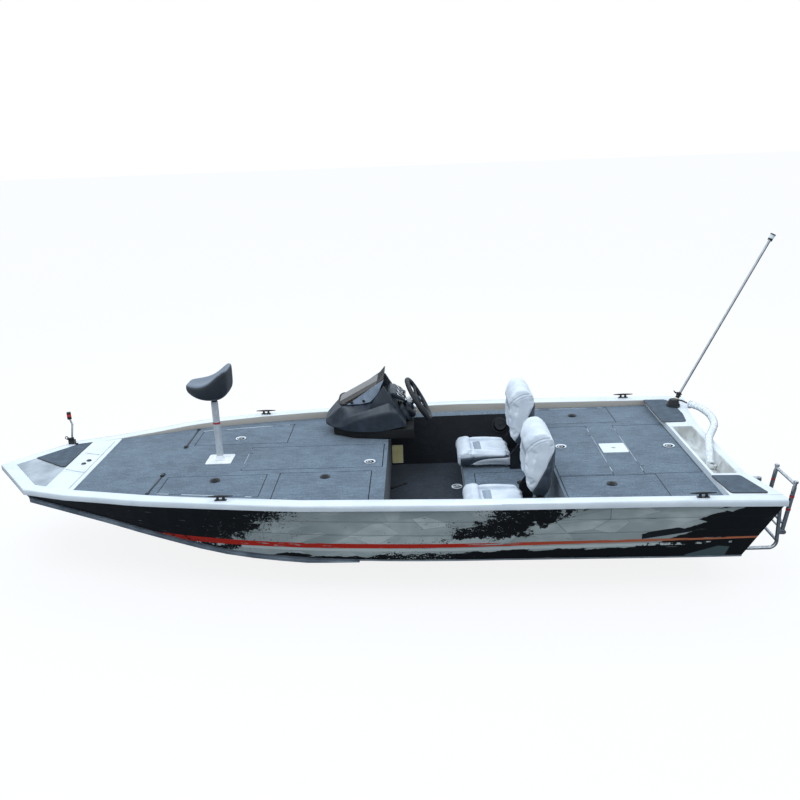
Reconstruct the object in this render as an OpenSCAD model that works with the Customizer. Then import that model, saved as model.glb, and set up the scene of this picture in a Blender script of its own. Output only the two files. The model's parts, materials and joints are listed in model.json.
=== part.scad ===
// Aluminium bass boat: pressed-plate hull, carpeted casting decks, low cockpit with console and folding seats
// Millimetres. +X points aft, +Y to starboard, +Z up; the origin lies amidships on the waterline.

/* [Hull] */
// Greatest beam over the gunwales
beam = 2000; // [1980:5:2010]
// Height of the gunwale above the waterline at the transom
sheer_z = 420; // [400:5:440]
// Thickness of the hull plates
plate_t = 10; // [8:1:12]
// Width of the gunwale extrusion
gunwale_w = 88; // [80:1:92]
// Depth of the gunwale's outer lip
rub_h = 38; // [30:1:44]
// Rake of the transom from upright, in degrees
rake = 13.8; // [12:0.2:15]

/* [Decks] */
// Drop of the casting decks below the gunwale datum
deck_drop = 41; // [38:1:46]
// Thickness of the deck boards
deck_t = 12; // [10:1:14]
// Drop of the cockpit floor below the gunwale datum
floor_drop = 405; // [400:1:406]
// Drop of the locker floors below the gunwale datum
locker_drop = 330; // [300:5:340]
// Aft edge of the front deck
step_x = 190; // [180:5:200]
// Forward edge of the rear deck
rear_x = 1270; // [1265:1:1275]
// Forward face of the stern frame
frame_x = 2190; // [2188:1:2194]
// Height of the stern frame
frame_h = 41; // [38:1:46]
// Gap round each lid
lid_gap = 6; // [5:0.5:7]

/* [Seats] */
// Half spacing of the two cockpit seats
seat_y = 452; // [445:1:460]
// Width of a cockpit seat
seat_w = 400; // [380:5:410]
// Drop of the seat box's top below the gunwale datum
box_drop = 280; // [275:1:285]
// Length of the fishing seat's post
post_h = 440; // [420:5:460]

/* [Steering] */
// Outside diameter of the steering wheel
wheel_d = 360; // [340:5:370]
// Thickness of the wheel's rim
rim_d = 34; // [28:1:36]
// Tilt of the wheel's shaft above level, in degrees
wheel_tilt = 29.5; // [28:0.5:31]

/* [Stern] */
// Distance between the ladder's rails
rail_gap = 265; // [255:5:275]
// Diameter of the ladder's outer tubes
rail_d = 25; // [24:1:28]
// Height of the stern light's pole
pole_h = 1200; // [1100:10:1230]
// Diameter of the wrapped rigging hose
hose_d = 50; // [46:1:52]

/* [Hidden] */
eps = 0.3;
$fn = 40;

white = "#f2f3f3";
alloy = "#b9bec2";
carpet = "#59616b";
dark_carpet = "#23262b";
moulded = "#2a2d31";
vinyl = "#dfe2e5";
steel = "#c6cacd";

// Columns: x, gunwale half-breadth, gunwale height, chine half-breadth, chine height, keel height.
// Heights are above the gunwale datum; the last row's chine and keel lie forward of it by the rake.
stations = [
    [-2137, 450, -33, 380, -118, -240],
    [-1830, 565, -30, 447, -180, -362],
    [-1550, 660, -15, 520, -230, -458],
    [-1280, 755, 0, 592, -282, -532],
    [-800, 855, 12, 697, -366, -594],
    [-290, 925, 13, 785, -394, -602],
    [180, 955, 15, 838, -394, -602],
    [580, 985, 20, 860, -393, -600],
    [1060, 997, 20, 868, -394, -598],
    [1860, 1000, 15, 880, -397, -592],
    [2490, 1000, 0, 880, -400, -586]];
bow_tip = [-2490, 0, -31];
stem_foot = [-2462, 0, -76];
chine_aft = 188;
keel_aft = 235;
steps_per_bay = 3;
deck_z = sheer_z - deck_drop;
datum = sheer_z;

function spline(a, b, c, d, t) = 0.5 * (2 * b + (c - a) * t + (2 * a - 5 * b + 4 * c - d) * t * t
    + (3 * b - a - 3 * c + d) * t * t * t);
function fair(rows, n) = let (m = len(rows) - 1) [
    for (i = [0:m - 1], k = [0:n - 1])
        spline(rows[max(i - 1, 0)], rows[i], rows[i + 1], rows[min(i + 2, m)], k / n),
    rows[m]];
rows = fair(stations, steps_per_bay);
wide = beam / 2000;
// Share of the rake that reaches a row, so that only the last bay leans forward
function lean(x) = max(0, (x - 1860) / 630);

sheer = concat([bow_tip], [for (r = rows) [r[0], r[1] * wide, r[2]]]);
chine = concat([stem_foot], [for (r = rows) [r[0] - chine_aft * lean(r[0]), r[3] * wide, r[4]]]);
keel = concat([stem_foot], [for (r = rows) [r[0] - keel_aft * lean(r[0]), 0, r[5]]]);

function flat(p) = [p.x, p.y];
function unit(v) = v / norm(v);
function inboard(a, b) = let (d = unit(flat(b) - flat(a))) [d.y, -d.x];
// Mitred inboard direction at point i of a plan line; the bow end mitres with its own mirror image
function mitre(line, i) = let (
    m = len(line) - 1,
    after = i < m ? inboard(line[i], line[i + 1]) : inboard(line[m - 1], line[m]),
    before = i > 0 ? inboard(line[i - 1], line[i]) : [after.x, -after.y])
    (before + after) / (1 + before * after);
// Point i of a line moved inboard by d and up by h, in the object's own heights
function inset(line, i, d, h) = let (p = flat(line[i]) + mitre(line, i) * d)
    [p.x, i == 0 ? 0 : p.y, datum + line[i].z + h];
// Half-breadth of the gunwale line at x, moved inboard by d
function half_at(x, d) = lookup(x, [for (i = [1:len(sheer) - 1]) let (p = inset(sheer, i, d, 0)) [p.x, p.y]]);
function between(x0, x1) = [for (p = sheer) if (p.x > x0 + 20 && p.x < x1 - 20) p.x];
// Plan outline of a board that follows both gunwales from x0 to x1
function board(x0, x1, d) = let (xs = concat([x0], between(x0, x1), [x1]), n = len(xs) - 1) concat(
    [for (x = xs) [x, half_at(x, d)]],
    [for (i = [n:-1:0]) [xs[i], -half_at(xs[i], d)]]);

// Closed solid through rings with equal counts of points, listed from bow to stern for the starboard side.
// The strips listed in turned are split along their other diagonals, so that thin plates keep a thickness
// An end ring that isn't flat is closed by the flat polygons in caps
module loft(rings, turned = [], caps = undef) {
    n = len(rings[0]);
    m = len(rings);
    ends = is_undef(caps) ? [[for (j = [0:n - 1]) j]] : caps;
    polyhedron(
        points = [for (r = rings) each r],
        faces = concat(
            [for (i = [0:m - 2], j = [0:n - 1]) let (
                a = i * n + j, b = i * n + (j + 1) % n, c = (i + 1) * n + (j + 1) % n, d = (i + 1) * n + j)
                each len(search(j, turned)) > 0 ? [[a, b, d], [b, c, d]] : [[a, b, c], [a, c, d]]],
            [for (e = ends) [for (k = [len(e) - 1:-1:0]) e[k]]],
            [for (e = ends) [for (j = e) (m - 1) * n + j]]),
        convexity = 8);
}
module port() { mirror([0, 1, 0]) children(); }
// Profile given as x and z, extruded across the boat from y0 to y1
module across(y0, y1, points) {
    translate([0, y1, 0]) rotate([90, 0, 0]) linear_extrude(height = y1 - y0) polygon(points);
}
module slab(x0, x1, y0, y1, z0, z1) {
    translate([x0, y0, z0]) cube([x1 - x0, y1 - y0, z1 - z0]);
}
// Round bar from a to b
module bar(a, b, d) {
    v = b - a;
    translate(a) rotate([0, acos(v.z / norm(v)), atan2(v.y, v.x)]) cylinder(d = d, h = norm(v));
}

// Bottom: one pressed vee plate from the transom to the raised bow
module bottom_plate() {
    t = plate_t;
    color(alloy) loft([for (i = [0:len(chine) - 1]) let (
        c = i == 0 ? [stem_foot.x - 2, 14, stem_foot.z] : chine[i],
        k = keel[i])
        [[c.x, -c.y, datum + c.z - t], [c.x, -c.y, datum + c.z], [k.x, 0, datum + k.z + (i == 0 ? -1 : t)],
         [c.x, c.y, datum + c.z], [c.x, c.y, datum + c.z - t], [k.x, 0, datum + k.z - (i == 0 ? t + 2 : 0)]]],
        turned = [2, 5], caps = [[0, 1, 2, 5], [2, 3, 4, 5]]);
}

// Topside between the gunwale and the chine, in two lengths of plate that meet in a butt seam
seam_x = 600;
module side() {
    under = 8;
    difference() {
        loft([for (i = [0:len(sheer) - 1]) [
            inset(sheer, i, under, -under - eps), inset(sheer, i, under + plate_t, -under - eps),
            inset(chine, i, plate_t, eps), inset(chine, i, 0, eps)]], turned = [1]);
        slab(seam_x - 0.2, seam_x + 0.2, 0, 1400, -400, 800);
    }
}
module side_starboard() { color("#8e9499") side(); }
module side_port() { color("#8e9499") port() side(); }

// Ribbed rail that wraps the plate edges along the chine as far as the spray turns down
rail_end = 24;
rail_ribs = [[-4.5, -1], [-4.5, -10], [-1.5, -12], [-3.5, -22], [-0.5, -24], [-2.5, -36], [10, -38],
    [10, -17], [-0.6, -12], [-0.6, -1]];
module chine_rail() {
    last = len([for (c = chine) if (c.x < rail_end) c]);
    loft([for (i = [1:last]) let (fade = min(1, max(0.3, (rail_end - chine[i].x) / 260)))
        [for (r = rail_ribs) inset(chine, i, r[0], max(r[1], -13) + min(0, r[1] + 13) * fade)]]);
}
module chine_rails() {
    color(alloy) {
        chine_rail();
        port() chine_rail();
    }
}

// Transom: raked motor board between two swept quarters
transom_x = 2400;
transom_t = 34;
well_port = -585;
well_starboard = 290;
motor_y = (well_port + well_starboard) / 2;
pad = [300, 250];
pad_t = 8;
pad_top = 70;
function raked(z) = transom_x + z * tan(rake);
function bottom_at(y) = -585 + plate_t + (abs(y) / (880 * wide)) * 186 + 3;
module transom() {
    up = 1 / cos(rake);
    color(alloy) difference() {
        translate([transom_x, 0, datum]) rotate([0, rake, 0]) rotate([90, 0, -90])
            linear_extrude(height = transom_t)
            polygon([for (p = [[well_starboard, 0], [well_starboard, bottom_at(well_starboard)],
                [0, bottom_at(0)], [well_port, bottom_at(well_port)], [well_port, 0]]) [-p.x, p.y * up]]);
        slab(transom_x - 60, transom_x + 20, well_port - 9, well_starboard + 9, datum - frame_h, datum + 20);
    }
    color("#3a3d40") translate([transom_x, 0, datum]) rotate([0, rake, 0])
        translate([-0.5, motor_y - pad.x / 2, -pad_top - pad.y]) cube([pad_t + 0.5, pad.x, pad.y]);
}
// Low and high edges of a quarter's aft face, each from the transom's side at y0 to the hull's side
function quarter_edges(y0) = let (y_low = 862 * wide, top = -frame_h - eps) [
    [[raked(bottom_at(y0)), y0, bottom_at(y0) + 2], [2296, y_low, bottom_at(y_low) + 4]],
    [[raked(top), y0, top], [2466, half_at(2470, 30), top]]];
// X of the port side's aft face at a half-breadth and height
function stern_x(y, z) = y < -well_port ? raked(z) : let (
    e = [for (q = quarter_edges(-well_port + 1)) q[0] + (q[1] - q[0]) * (y - q[0].y) / (q[1].y - q[0].y)])
    e[0].x + (e[1].x - e[0].x) * (z - e[0].z) / (e[1].z - e[0].z);
module quarter(y0) {
    t = 20;
    e = quarter_edges(y0);
    loft([for (k = [0, 1]) [for (p = [e[0][k] - [t, 0, 0], e[0][k], e[1][k], e[1][k] - [t, 0, 0]])
        p + [0, 0, datum]]], turned = [3]);
}
module transom_quarters() {
    color(alloy) {
        quarter(well_starboard + 1);
        port() quarter(-well_port + 1);
    }
}

// Gunwale: a capping extrusion with a rounded rub edge and an inner lip that reaches the deck
module gunwale() {
    w = gunwale_w;
    color(white) loft([for (i = [0:len(sheer) - 1]) let (lip = min(-11, -deck_drop - sheer[i].z)) [
        for (p = [[0, -rub_h], [0, -9], [2.5, -3], [8, 0], [w / 2, 2], [w - 7, 0], [w - 1, -4], [w, lip],
            [w - 5, lip], [w - 5, -8], [6, -8], [6, -rub_h]]) inset(sheer, i, p[0], p[1])]]);
}
module gunwale_starboard() { gunwale(); }
module gunwale_port() { port() gunwale(); }

// Bow: bare plate ahead of a white panel that carries two drain plugs
panel_x = [-2005, -1806];
bow_z = -36;
module bow_plate() {
    tip = inset(sheer, 0, gunwale_w + 1, 0).x;
    corner = inset(sheer, 1, gunwale_w + 1, 0);
    aft = half_at(panel_x[0], gunwale_w + 1);
    color(alloy) translate([0, 0, datum + bow_z - 8]) linear_extrude(height = 6)
        polygon([[tip, 0], [corner.x, corner.y], [panel_x[0] - 1, aft], [panel_x[0] - 1, -aft],
            [corner.x, -corner.y]]);
}
module bow_panel() {
    plug_d = 35;
    edge_t = 6;
    color(white) difference() {
        translate([0, 0, datum + bow_z - 12]) linear_extrude(height = 12)
            polygon(board(panel_x[0], panel_x[1], gunwale_w + 1));
        for (y = [-160, 160])
            slab(panel_x[0] - 1, panel_x[1] - 18, y - 1.5, y + 1.5, datum + bow_z - 3, datum + bow_z + 1);
        for (p = [[-1900, -32], [-1900, 28]])
            translate([p.x, p.y, datum + bow_z - 4]) cylinder(d = plug_d, h = 5);
    }
    color("#3a3d40") for (p = [[-1900, -32], [-1900, 28]])
        translate([p.x, p.y, datum + bow_z - 4]) cylinder(d = plug_d - 1, h = 5.5);
    color(white) slab(panel_x[1], panel_x[1] + edge_t, -half_at(panel_x[1], gunwale_w + 8),
        half_at(panel_x[1], gunwale_w + 8), deck_z + eps, datum + bow_z + 1);
}

// Lids. Columns: name, forward x, aft x, inner y forward, inner y aft, outer y forward, outer y aft, latch x,
// latch y, hinged edge
lids = [
    ["front_centre", -775, 160, -210, -210, 210, 210, 80, -134, "forward"],
    ["port_forward", -1235, -590, -300, -300, -560, -655, -914, -375, "outer"],
    ["port_aft", -500, 93, -285, -285, -760, -760, -203, -358, "outer"],
    ["starboard_forward", -1210, -545, 297, 297, 600, 700, -897, 394, "outer"],
    ["rear_centre", 1292, 1630, -455, -455, 455, 455, 1385, 49, "aft"],
    ["aft_centre", 1830, 2180, -455, -455, 455, 455, 2105, 0, "forward"],
    ["rear_port", 1292, 1885, -475, -475, -880, -880, 1586, -604, "outer"],
    ["rear_starboard", 1292, 1870, 535, 535, 880, 880, 1580, 709, "outer"],
    ["seat_box", 800, 1180, -200, -200, 200, 200, 850, 0, "aft"]];
latch_d = 62;
function lid_row(name) = [for (r = lids) if (r[0] == name) r][0];
function corners(r) = [[r[1], r[3]], [r[2], r[4]], [r[2], r[6]], [r[1], r[5]]];
// Ends of the hinged edge of a lid, in plan
function hinge_line(r) = let (c = corners(r))
    r[9] == "outer" ? [c[3], c[2]] : r[9] == "aft" ? [c[1], c[2]] : [c[0], c[3]];
module opening(r, top, depth) {
    translate([0, 0, top - depth - 1]) linear_extrude(height = depth + 2)
        offset(delta = lid_gap) polygon(corners(r));
}
module lid(name, top) {
    r = lid_row(name);
    e = hinge_line(r);
    along = unit(e[1] - e[0]);
    middle = (corners(r)[0] + corners(r)[2]) / 2;
    side_of = let (n = [-along.y, along.x]) n * (middle - e[0]) > 0 ? n : -n;
    axis = -side_of * (lid_gap / 2);
    color(carpet) {
        difference() {
            translate([0, 0, top - deck_t]) linear_extrude(height = deck_t) polygon(corners(r));
            translate([r[7], r[8], top - 4]) cylinder(d = latch_d, h = 6);
        }
        for (s = [0.18, 0.82]) let (m = e[0] + (e[1] - e[0]) * s)
            translate([m.x + axis.x, m.y + axis.y, top]) rotate([0, 0, atan2(along.y, along.x)]) {
                translate([-40, 0, 0]) rotate([0, 90, 0]) cylinder(d = 5, h = 80);
                translate([-40, (side_of * [-along.y, along.x] > 0 ? 0 : -26), 0]) cube([80, 26, 1.8]);
            }
    }
    color("#1c1e20") translate([r[7], r[8], top - 4]) difference() {
        cylinder(d = latch_d - 1, h = 6);
        translate([0, 0, 2]) cylinder(d = latch_d - 22, h = 6);
    }
}
module lid_front_centre() { lid("front_centre", deck_z); }
module lid_port_forward() { lid("port_forward", deck_z); }
module lid_port_aft() { lid("port_aft", deck_z); }
module lid_starboard_forward() { lid("starboard_forward", deck_z); }
module lid_rear_centre() { lid("rear_centre", deck_z); }
module lid_aft_centre() { lid("aft_centre", deck_z); }
module lid_rear_port() { lid("rear_port", deck_z); }
module lid_rear_starboard() { lid("rear_starboard", deck_z); }
module lid_seat_box() { lid("seat_box", datum - box_drop); }

// Decks: one board each with the lid openings cut through
board_in = 72;
module front_deck() {
    color(carpet) difference() {
        translate([0, 0, deck_z - deck_t]) linear_extrude(height = deck_t)
            polygon(board(panel_x[1] + 1, step_x, board_in));
        for (i = [0:3]) opening(lids[i], deck_z, deck_t);
    }
}
module rear_deck() {
    color(carpet) difference() {
        translate([0, 0, deck_z - deck_t]) linear_extrude(height = deck_t)
            polygon(board(rear_x, frame_x, board_in));
        for (i = [4:7]) opening(lids[i], deck_z, deck_t);
        translate([1733, 0, deck_z - deck_t - 1]) cylinder(d = 40, h = deck_t + 2);
    }
}

// Lockers below the decks: walls along and across, and their floors
wall_t = 8;
locker_z = datum - locker_drop;
wall_y = 245;
rear_wall_y = 465;
module wall_up(x0, x1, y) {
    slab(x0, x1, y - wall_t / 2, y + wall_t / 2, locker_z + eps, deck_z - deck_t - eps);
}
module front_locker_walls() {
    color(alloy) {
        for (y = [-wall_y, wall_y]) wall_up(-1302, step_x - 13, y);
        wall_across(-1310, -400, 400);
        wall_across(-540, -600, -wall_y - wall_t / 2);
        wall_across(-510, wall_y + wall_t / 2, 600);
    }
}
module wall_across(x, y0, y1) { slab(x, x + wall_t, y0, y1, locker_z + eps, deck_z - deck_t - eps); }
locker_side = [[-1310, 400], [-1180, 430], [-800, 630], [-290, 745], [step_x - 13, 790]];
module locker_floors() {
    color(alloy) {
        translate([0, 0, locker_z - 6]) linear_extrude(height = 6)
            polygon(concat(locker_side,
                [for (k = [len(locker_side) - 1:-1:0]) [locker_side[k].x, -locker_side[k].y]]));
        slab(rear_x + 14, frame_x - 20, -790, 790, locker_z - 6, locker_z);
    }
}
module rear_locker_walls() {
    color(alloy) {
        for (y = [-rear_wall_y, rear_wall_y]) wall_up(rear_x + 14, frame_x - 20, y);
        for (x = [1650, 1806]) wall_across(x, -rear_wall_y + wall_t / 2, rear_wall_y - wall_t / 2);
    }
}

// Cockpit: floor, carpeted side walls that follow the topsides, bulkheads and the seat box
floor_z = datum - floor_drop;
wall_foot = 728;
wall_xs = [step_x, 560, 920, rear_x];
lining_t = 12;
// Inner face of a cockpit side wall at x and z
function wall_in(x, z) = let (y = lookup(x, [for (w = wall_xs) [w, half_at(w, 100)]]))
    wall_foot + (y - wall_foot) * (z - floor_z) / (deck_z - floor_z);
module cockpit_floor() {
    color(dark_carpet) slab(step_x + eps, rear_x, -wall_foot - 8, wall_foot + 8, floor_z - 6, floor_z);
}
module cockpit_wall() {
    t = lining_t;
    loft([for (x = wall_xs) let (y = wall_in(x, deck_z)) [
        [x, y, deck_z], [x, y + t, deck_z], [x, wall_foot + t, floor_z + eps],
        [x, wall_foot, floor_z + eps]]],
        turned = [3]);
}
module cockpit_wall_starboard() { color(dark_carpet) cockpit_wall(); }
module cockpit_wall_port() { color(dark_carpet) port() cockpit_wall(); }
// Board of thickness t across the cockpit, its ends sloped with the side walls and moved outboard by spread
module bulkhead(x, t, z0, z1, spread) {
    y0 = wall_in(x, z0) + spread;
    y1 = wall_in(x, z1) + spread;
    color(carpet) translate([x + t, 0, 0]) rotate([90, 0, -90]) linear_extrude(height = t)
        polygon([[-y0, z0], [y0, z0], [y1, z1], [-y1, z1]]);
}
module front_bulkhead() { bulkhead(step_x - 12, 12, floor_z - 6, deck_z - deck_t, lining_t); }
module rear_bulkhead() { bulkhead(rear_x + eps, 12, locker_z - 6, deck_z - deck_t, lining_t); }
module seat_box() {
    top = datum - box_drop;
    x0 = 722;
    fit = 3;
    color(carpet) {
        difference() {
            translate([0, 0, top - deck_t]) linear_extrude(height = deck_t)
                polygon([for (p = [[x0, 1], [920, 1], [rear_x, 1], [rear_x, -1], [920, -1], [x0, -1]])
                    [p.x, p.y * (wall_in(p.x, top - deck_t) - fit)]]);
            opening(lid_row("seat_box"), top, deck_t);
        }
        bulkhead(x0, 12, floor_z + eps, top - deck_t, -fit);
        for (y = [-226, 214]) slab(x0 + 12, rear_x, y, y + 12, floor_z + eps, top - deck_t);
    }
}

// Stern frame: a white box-section frame round the splash well, swept aft at the quarters
well_x = [2180, 2354];
module stern_frame() {
    g = gunwale_w + 0.5;
    edge = half_at(2480, g);
    color(white) translate([0, 0, datum - frame_h]) difference() {
        linear_extrude(height = frame_h) polygon([[frame_x, half_at(frame_x, g)], [2489, edge], [2489, 905],
            [2436, 640], [transom_x, 290], [transom_x, -580], [2489, -905], [2489, -edge],
            [frame_x, -half_at(frame_x, g)]]);
        translate([0, 0, -1]) linear_extrude(height = frame_h + 2)
            polygon([[well_x[0] + 26, well_port], [well_x[1], well_port], [well_x[1], well_starboard],
                [well_x[0] + 26, well_starboard]]);
    }
}
// Splash well: a folded tray with a ramped front and two drilled knees
module splash_well() {
    t = 4;
    x0 = well_x[0] + 27;
    x1 = well_x[1] - 1;
    rim = -2;
    color("#cfc8ba") {
        difference() {
            across(well_port + 1, well_starboard - 1, [for (p = [[x0, rim], [x0, -frame_h], [2262, -82],
                [x1 - 15, -104], [x1, -frame_h - 0.5], [x1, rim]]) [p.x, datum + p.y]]);
            across(well_port + 1 + t, well_starboard - 1 - t, [for (p = [
                [x0 + t, rim + 2], [x0 + t, -frame_h],
                [2264, -77], [x1 - t - 14, -99], [x1 - t, -frame_h], [x1 - t, rim + 2]]) [p.x, datum + p.y]]);
        }
        for (y = [-330, 200]) difference() {
            across(y, y + 6, [for (p = [[x1 - 2, -14], [x1 - 28, -62], [x1 - 34, -82], [x1 - 14, -92],
                [x1 - 2, -frame_h]]) [p.x, datum + p.y]]);
            translate([x1 - 20, y - 1, datum - 68]) rotate([-90, 0, 0]) cylinder(d = 10, h = 8);
        }
    }
}

// Horn cleats on the gunwales
module cleat(x, y, z) {
    horn = 150;
    color("#1b1d1f") translate([x, y, z]) {
        for (s = [-1, 1]) translate([s * 18, 0, 0]) cylinder(d1 = 20, d2 = 14, h = 22);
        translate([-36, -11, 0]) cube([72, 22, 3]);
        translate([-horn / 2, 0, 25]) rotate([0, 90, 0]) rotate_extrude() polygon([
            [0, 0], [3, 1], [6, horn * 0.3],
            [7, horn / 2], [6, horn * 0.7], [3, horn - 1], [0, horn]]);
    }
}
function sheer_at(x) = lookup(x, [for (p = sheer) [p.x, p.z]]);
module cleats() {
    for (s = [-1, 1], x = [-775, 2022])
        cleat(x, s * half_at(x, gunwale_w / 2), datum + max(sheer_at(x - 36), sheer_at(x + 36)) + 2.3);
}

// Fishing seat on a post, and the spare socket aft
seat_x = -960;
socket_x = 1733;
socket_r = 13.5;
socket_len = 110;
post_d = 47;
module plate_with(x, d, size) {
    translate([x, 0, deck_z]) linear_extrude(height = 4) difference() {
        offset(r = 12) square(size - 24, center = true);
        circle(d = d);
    }
}
module pedestal() {
    color(white) {
        plate_with(seat_x, post_d - 10, 175);
        translate([seat_x, 0, deck_z + 4]) cylinder(d = 74, h = 6);
        translate([seat_x, 0, deck_z + 10]) cylinder(d = post_d + 10, h = 22);
        translate([seat_x, 0, deck_z + 10]) cylinder(d = post_d, h = post_h - 31);
        translate([seat_x, 0, deck_z + 10]) cylinder(d = post_d - 8, h = post_h - 18);
    }
    color("#b02424") translate([seat_x, 0, deck_z + 262]) difference() {
        cylinder(d = post_d + 3, h = 12);
        translate([0, 0, -1]) cylinder(d = post_d - 1, h = 14);
    }
}
module rear_socket() {
    color(white) {
        plate_with(socket_x, 2 * socket_r, 172);
        translate([socket_x, 0, deck_z - socket_len + 4]) difference() {
            cylinder(d = 38, h = socket_len - 4);
            translate([0, 0, -1]) cylinder(r = socket_r, h = socket_len);
        }
    }
}
// Saddle sections from the nose aft. Columns: x, half-width, top, underside
saddle = [[-168, 58, 116, 74], [-154, 92, 124, 56], [-110, 128, 122, 30], [-50, 150, 126, 10],
    [10, 160, 152, 8], [55, 158, 192, 10], [90, 146, 218, 26], [113, 120, 221, 50], [124, 86, 206, 80]];
module pedestal_seat() {
    z = deck_z + post_h;
    color("#26292d") {
        translate([seat_x, 0, z - 6]) cylinder(d = 62, h = 16);
        translate([seat_x - 70, -75, z + 4]) cube([140, 150, 8]);
        loft([for (r = saddle) [for (p = [
            [-0.72, r[3]], [-1, r[3] + 22], [-1, r[2] - 20], [-0.82, r[2]],
            [0.82, r[2]], [1, r[2] - 20], [1, r[3] + 22], [0.72, r[3]]])
            [seat_x + r[0], p.x * r[1], z + p.y]]]);
    }
}

// Wheel centre in x, y and height, and the boss behind it, which sits lower on the dash
wheel_at = [414, 550, 182];
boss_seat = 140;
boss_d = 140;
flange_d = 188;
boss_drop = 30;

// Console: a faceted moulding, narrower towards its nose, that overhangs a black plinth. Its cross-sections
// run from the nose aft. Columns: x, then half-breadth and height of the lower edge, the lower crease, the
// upper crease, the shoulder and the top
console_y = 565;
dash_y = [440, 700];
function dash_z(x) = wheel_at.z + ((wheel_at.x - x) * cos(wheel_tilt) - boss_seat) / sin(wheel_tilt);
function dash_x(z) = wheel_at.x - (boss_seat + (z - wheel_at.z) * sin(wheel_tilt)) / cos(wheel_tilt);
console_stations = [
    [-273, [92, 38], [104, 48], [104, 60], [88, 72], [45, 78]],
    [-244, [138, 33], [148, 42], [146, 56], [124, 98], [66, 110]],
    [-195, [170, 28], [178, 34], [170, 44], [152, 146], [80, 164]],
    [-150, [205, 26], [210, 40], [196, 80], [163, 191], [86, 197]],
    [-107, [236, 24], [236, 62], [226, 114], [157, 189], [86, 196]],
    [-55, [250, 21], [247, 101], [229, 138], [152, 188], [92, 196]],
    [60, [262, 18], [253, 130], [222, 172], [147, 198], [100, 204]],
    [122, [265, 18], [255, 145], [217, 194], [147, 216], [100, 222]],
    [167, [266, 26], [257, 153], [215, 208], [158, 244], [120, 262]],
    [205, [266, 34], [257, 160], [214, 211], [163, dash_z(205)], [120, dash_z(205)]],
    [235, [266, 41], [257, 164], [213, dash_z(235)], [165, dash_z(235)], [120, dash_z(235)]],
    [262, [266, 47], [256, dash_z(262)], [216, dash_z(262)], [165, dash_z(262)], [120, dash_z(262)]],
    [320, [265, 56], [264, dash_z(320)], [225, dash_z(320)], [165, dash_z(320)], [120, dash_z(320)]]];
// Upstanding cheeks beside the dash. Columns: height, fore edge, and the outer and inner half-breadths
cheeks = [[180, 60, 214, 163], [240, 98, 205, 165], [275, 122, 195, 166], [332, 163, 187, 169]];
plinth = [[-214, 128], [-62, 217], [168, 262], [378, 262]];
hood = [[150, 226], [186, 298], [238, 301], [326, 218], [318, 208], [262, 222], [206, 240]];
module console() {
    color(moulded) difference() {
        union() {
            loft([for (r = console_stations) concat(
                [for (k = [1:5]) [r[0], console_y - r[k].x, datum + r[k].y]],
                [for (k = [5:-1:1]) [r[0], console_y + r[k].x, datum + r[k].y]])]);
            translate([0, console_y, datum]) for (side = [0, 1]) mirror([0, side, 0])
                loft([for (c = cheeks) [[c[1], c[3], c[0]], [c[1], c[2], c[0]], [dash_x(c[0]), c[2], c[0]],
                    [dash_x(c[0]), c[3], c[0]]]]);
            across(dash_y[0], dash_y[1], [for (p = hood) [p.x, datum + p.y]]);
            intersection() {
                translate([0, console_y, 0]) linear_extrude(height = datum + 100)
                    polygon(concat(plinth, [for (k = [3:-1:0]) [plinth[k].x, -plinth[k].y]]));
                across(300, 830, [for (p = [
                    [-222, 30], [-206, -deck_drop + eps], [step_x + 1, -deck_drop + eps], [step_x + 1, -52],
                    [380, -52], [374, -36], [326, 45], [240, 50], [130, 30]]) [p.x, datum + p.y]]);
            }
        }
        on_shaft(boss_seat) translate([boss_drop, 0, -20]) cylinder(d = boss_d + 0.6, h = 21);
    }
}

// Windscreen: tinted wrap-round sheet with a flared head. Columns: foot x and height, knee x and height, head
// x and height, y
screen = [[110, 224, 138, 302, 165, 370, 418], [-138, 197, 100, 326, 163, 378, 424],
    [-166, 200, 118, 352, 170, 414, 480], [-166, 200, 118, 352, 170, 414, 650],
    [-138, 197, 100, 326, 163, 378, 706], [110, 224, 138, 302, 165, 370, 712]];
module windscreen() {
    t = 5;
    color("#4a4038", 0.7) loft([for (s = screen) let (y = s[6], toward = sign(console_y - y) * t) [
        [s[0], y, datum + s[1]], [s[2], y, datum + s[3]], [s[4], y, datum + s[5]],
        [s[4] + t, y + toward, datum + s[5] - 1], [s[2] + t, y + toward, datum + s[3] - 3],
        [s[0] + t, y + toward, datum + s[1] + 2]]], turned = [3, 4]);
}
wing = [[-104, 196], [0, 200], [62, 212], [98, 244], [130, 290], [168, 376]];
module screen_wings() {
    color("#9aa4b0") for (y = [console_y - 158, console_y + 154])
        across(y, y + 4, [for (p = wing) [p.x, datum + p.y]]);
}

// Steering: stepped boss on the dash and a three-spoke wheel, both on the tilted shaft
// Frame on the shaft's axis, starting the given distance behind the wheel's centre
module on_shaft(back) {
    translate([wheel_at.x, wheel_at.y, datum + wheel_at.z]) rotate([0, 90 - wheel_tilt, 0])
        translate([0, 0, -back]) children();
}
module steering_boss() {
    color(moulded) on_shaft(boss_seat) {
        translate([boss_drop, 0, 0]) {
            translate([0, 0, -18]) cylinder(d = boss_d, h = 20);
            cylinder(d = flange_d, h = 10);
            translate([0, 0, 10]) cylinder(d1 = flange_d - 6, d2 = boss_d + 10, h = 18);
            translate([0, 0, 28]) cylinder(d = boss_d - 6, h = 5);
            translate([0, 0, 33]) cylinder(d = boss_d, h = 22);
            translate([0, 0, 55]) cylinder(d1 = boss_d, d2 = boss_d - 24, h = 12);
        }
        translate([12, 0, 60]) cylinder(d = 74, h = 20);
        cylinder(d = 30, h = boss_seat - 38);
    }
}
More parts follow.
